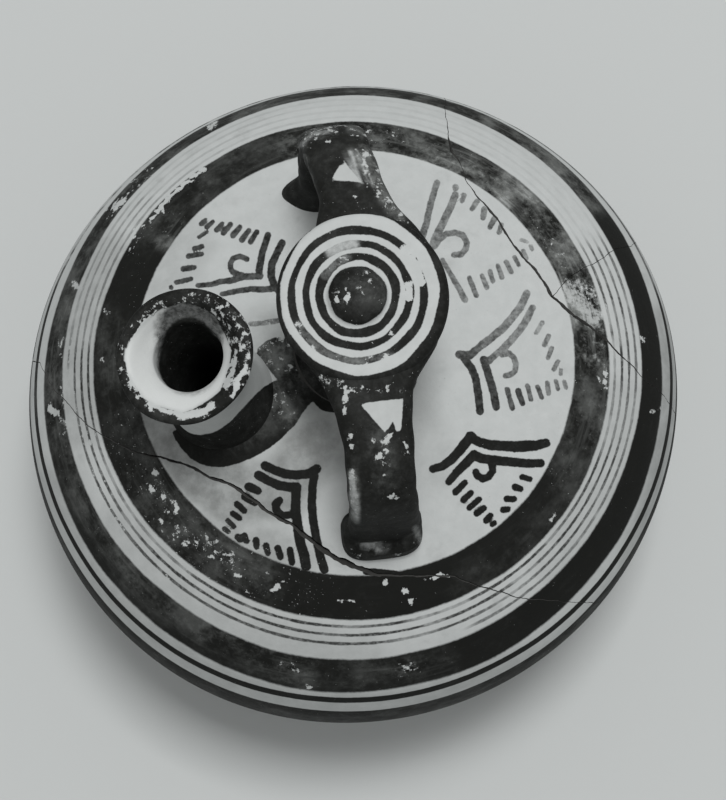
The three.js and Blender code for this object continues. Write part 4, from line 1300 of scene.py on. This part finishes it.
def make_handle(name, side, foot_reach, edges, triangle, flare, inner_flare=0.0, swell=0.0, taper=0.0):
    """A strap handle, with a padded foot that may flare out, swell inwards or taper to its sides."""
    line, run = strap_line(foot_reach)
    left, right = strap_edge(run, edges, 1), strap_edge(run, edges, 2)
    along = np.gradient(line, axis=0)
    along /= np.linalg.norm(along, axis=1)[:, None]
    outward = np.stack([-along[:, 1], along[:, 0]], -1)
    to_shoulder = (run[-1] - run - STRAP_SINK)[:, None]
    pad = 1 - smooth(to_shoulder, *PAD_RISE)
    angle = np.linspace(0, 2 * math.pi, STRAP_SIDES, endpoint=False)
    across, over = squared(np.cos(angle)), squared(np.sin(angle))
    x = (left + right) / 2 + (right - left) / 2 * across
    x = x + waves(run, (.12, .35, 1), (.08, .9, 2))[:, None]
    thick = np.where(over > 0, STRAP_HALF + flare * pad, STRAP_HALF + inner_flare * pad)
    offset = thick * over * (1 - taper * pad * across**4)
    inward = np.minimum(over, 0) * (1 - across**2)
    offset = offset + swell * (1 - smooth(to_shoulder, *SWELL_RISE)) * inward
    reach = line[:, :1] + outward[:, :1] * offset
    height = line[:, 1:] + outward[:, 1:] * offset
    piece = build(name + "_form", *skinned(np.stack([x, side * reach, height], -1)))

    pixels = project(points_of(piece))
    shown = 1 - smooth(run, *HIDDEN_RUN) if side > 0 else np.ones(len(run))
    seen = over_grid(over > SIGHT_LIMIT, shown)
    under = over_grid(over < UNDERSIDE_LIMIT, run < UNDERSIDE_END)
    top = over_grid(over > TOP_LIMIT, run < TRIANGLE_END)
    worn = np.minimum(worn_distance(pixels, HANDLE_WEAR, MOTTLED_HANDLE) + FAR * (1 - seen), FAR)
    ink = np.where(under, FAR / 2, np.where(top, -area_distance(pixels, triangle), -FAR))
    # Faded and thin paint, with painted highlights on the front foot's ledge and along the straps' edges.
    faded = 1 - seen * soft_zone(pixels, HANDLE_FADED, fade=4.0)
    haze = .06 + seen * soft_zone(pixels, HANDLE_HAZE, fade=6.0)
    mark(piece, ink=ink, faded=faded, chip=worn, haze=haze, rub=.45, dirt=.2)
    finish_piece(piece, name, plain_paint)


def make_foot():
    """The foot ring, painted all over."""
    inner = [(26.2, 5.4), (26.0, 3), (26.3, 1.2), (27.4, .1)]
    outer = [(30, 0), (32.6, .1), (33.8, 1.1), (34.2, 2.6), (35, 4.2), (36.2, 5.4)]
    piece = build("foot_form", *skinned(turned_grid(curve(inner + outer, .5), FOOT_SIDES), True))
    mark(piece, ink=-FAR, faded=1.0, chip=FAR, haze=.3, rub=.6, dirt=.2)
    finish_piece(piece, "foot_ring", plain_paint)


for node, piece in make_body().items():
    paint_body(node, piece)
make_neck()
make_disc()
make_spout()
make_handle(
    "handle_front", side=-1, foot_reach=41.0, edges=FRONT_EDGES, triangle=FRONT_TRIANGLE,
    flare=3.0, inner_flare=1.2,
)
make_handle(
    "handle_back", side=1, foot_reach=39.5, edges=BACK_EDGES, triangle=BACK_TRIANGLE,
    flare=.2, swell=2.6, taper=.35,
)
make_foot()

# Stage: a plain pale floor, a soft key light from the upper right of the picture, and an even sky.
FLOOR_COLOUR = (.545, .565, .56, 1)
FLOOR_HALF = 3
SKY_STRENGTH = .42


def make_floor():
    """A plain pale floor under the jar."""
    corners = [(x * FLOOR_HALF, y * FLOOR_HALF, 0) for x, y in ((-1, -1), (1, -1), (1, 1), (-1, 1))]
    mesh = bpy.data.meshes.new("floor")
    mesh.from_pydata(corners, [], [(0, 1, 2, 3)])
    shade = Shade("pale_floor")
    shade.show("Base Color", FLOOR_COLOUR)
    shade.show("Roughness", .9)
    mesh.materials.append(shade.material)
    return add_object("floor", mesh)


def transform(across, up, back, spot):
    """A transform with the given axes, at a spot in metres."""
    return Matrix(np.stack([across, up, back, spot], 1).tolist() + [[0, 0, 0, 1]])


def softbox(name, turn, elevation, distance, size, power):
    """A square lamp that faces the middle of the belly, turned and raised from the right of the picture."""
    lamp = bpy.data.lights.new(name, "AREA")
    lamp.size = size
    lamp.energy = power
    light = add_object(name, lamp)
    turn, elevation = math.radians(turn), math.radians(elevation)
    low, high = math.cos(elevation), math.sin(elevation)
    away = turned((low * math.cos(turn), low * math.sin(turn), high), VIEW_TURN)
    across = np.cross((0, 0, 1), away)
    across /= np.linalg.norm(across)
    light.matrix_world = transform(across, np.cross(away, across), away, away * distance + CENTRE * MM)


floor = make_floor()
softbox("key", turn=66, elevation=83, distance=1.4, size=.36, power=12.1)

world = bpy.data.worlds.new("sky")
bpy.context.scene.world = world
world.use_nodes = True
world.node_tree.nodes["Background"].inputs["Color"].default_value = (1, 1, 1, 1)
world.node_tree.nodes["Background"].inputs["Strength"].default_value = SKY_STRENGTH

camera = add_object("camera", bpy.data.cameras.new("camera"))
camera.matrix_world = transform(RIGHT, UP, BACK, EYE * MM)
camera.data.sensor_fit = "VERTICAL"
camera.data.sensor_height = SENSOR
camera.data.lens = FOCAL * SENSOR / PICTURE_HEIGHT
bpy.context.scene.camera = camera
bpy.context.scene.view_settings.view_transform = "Standard"
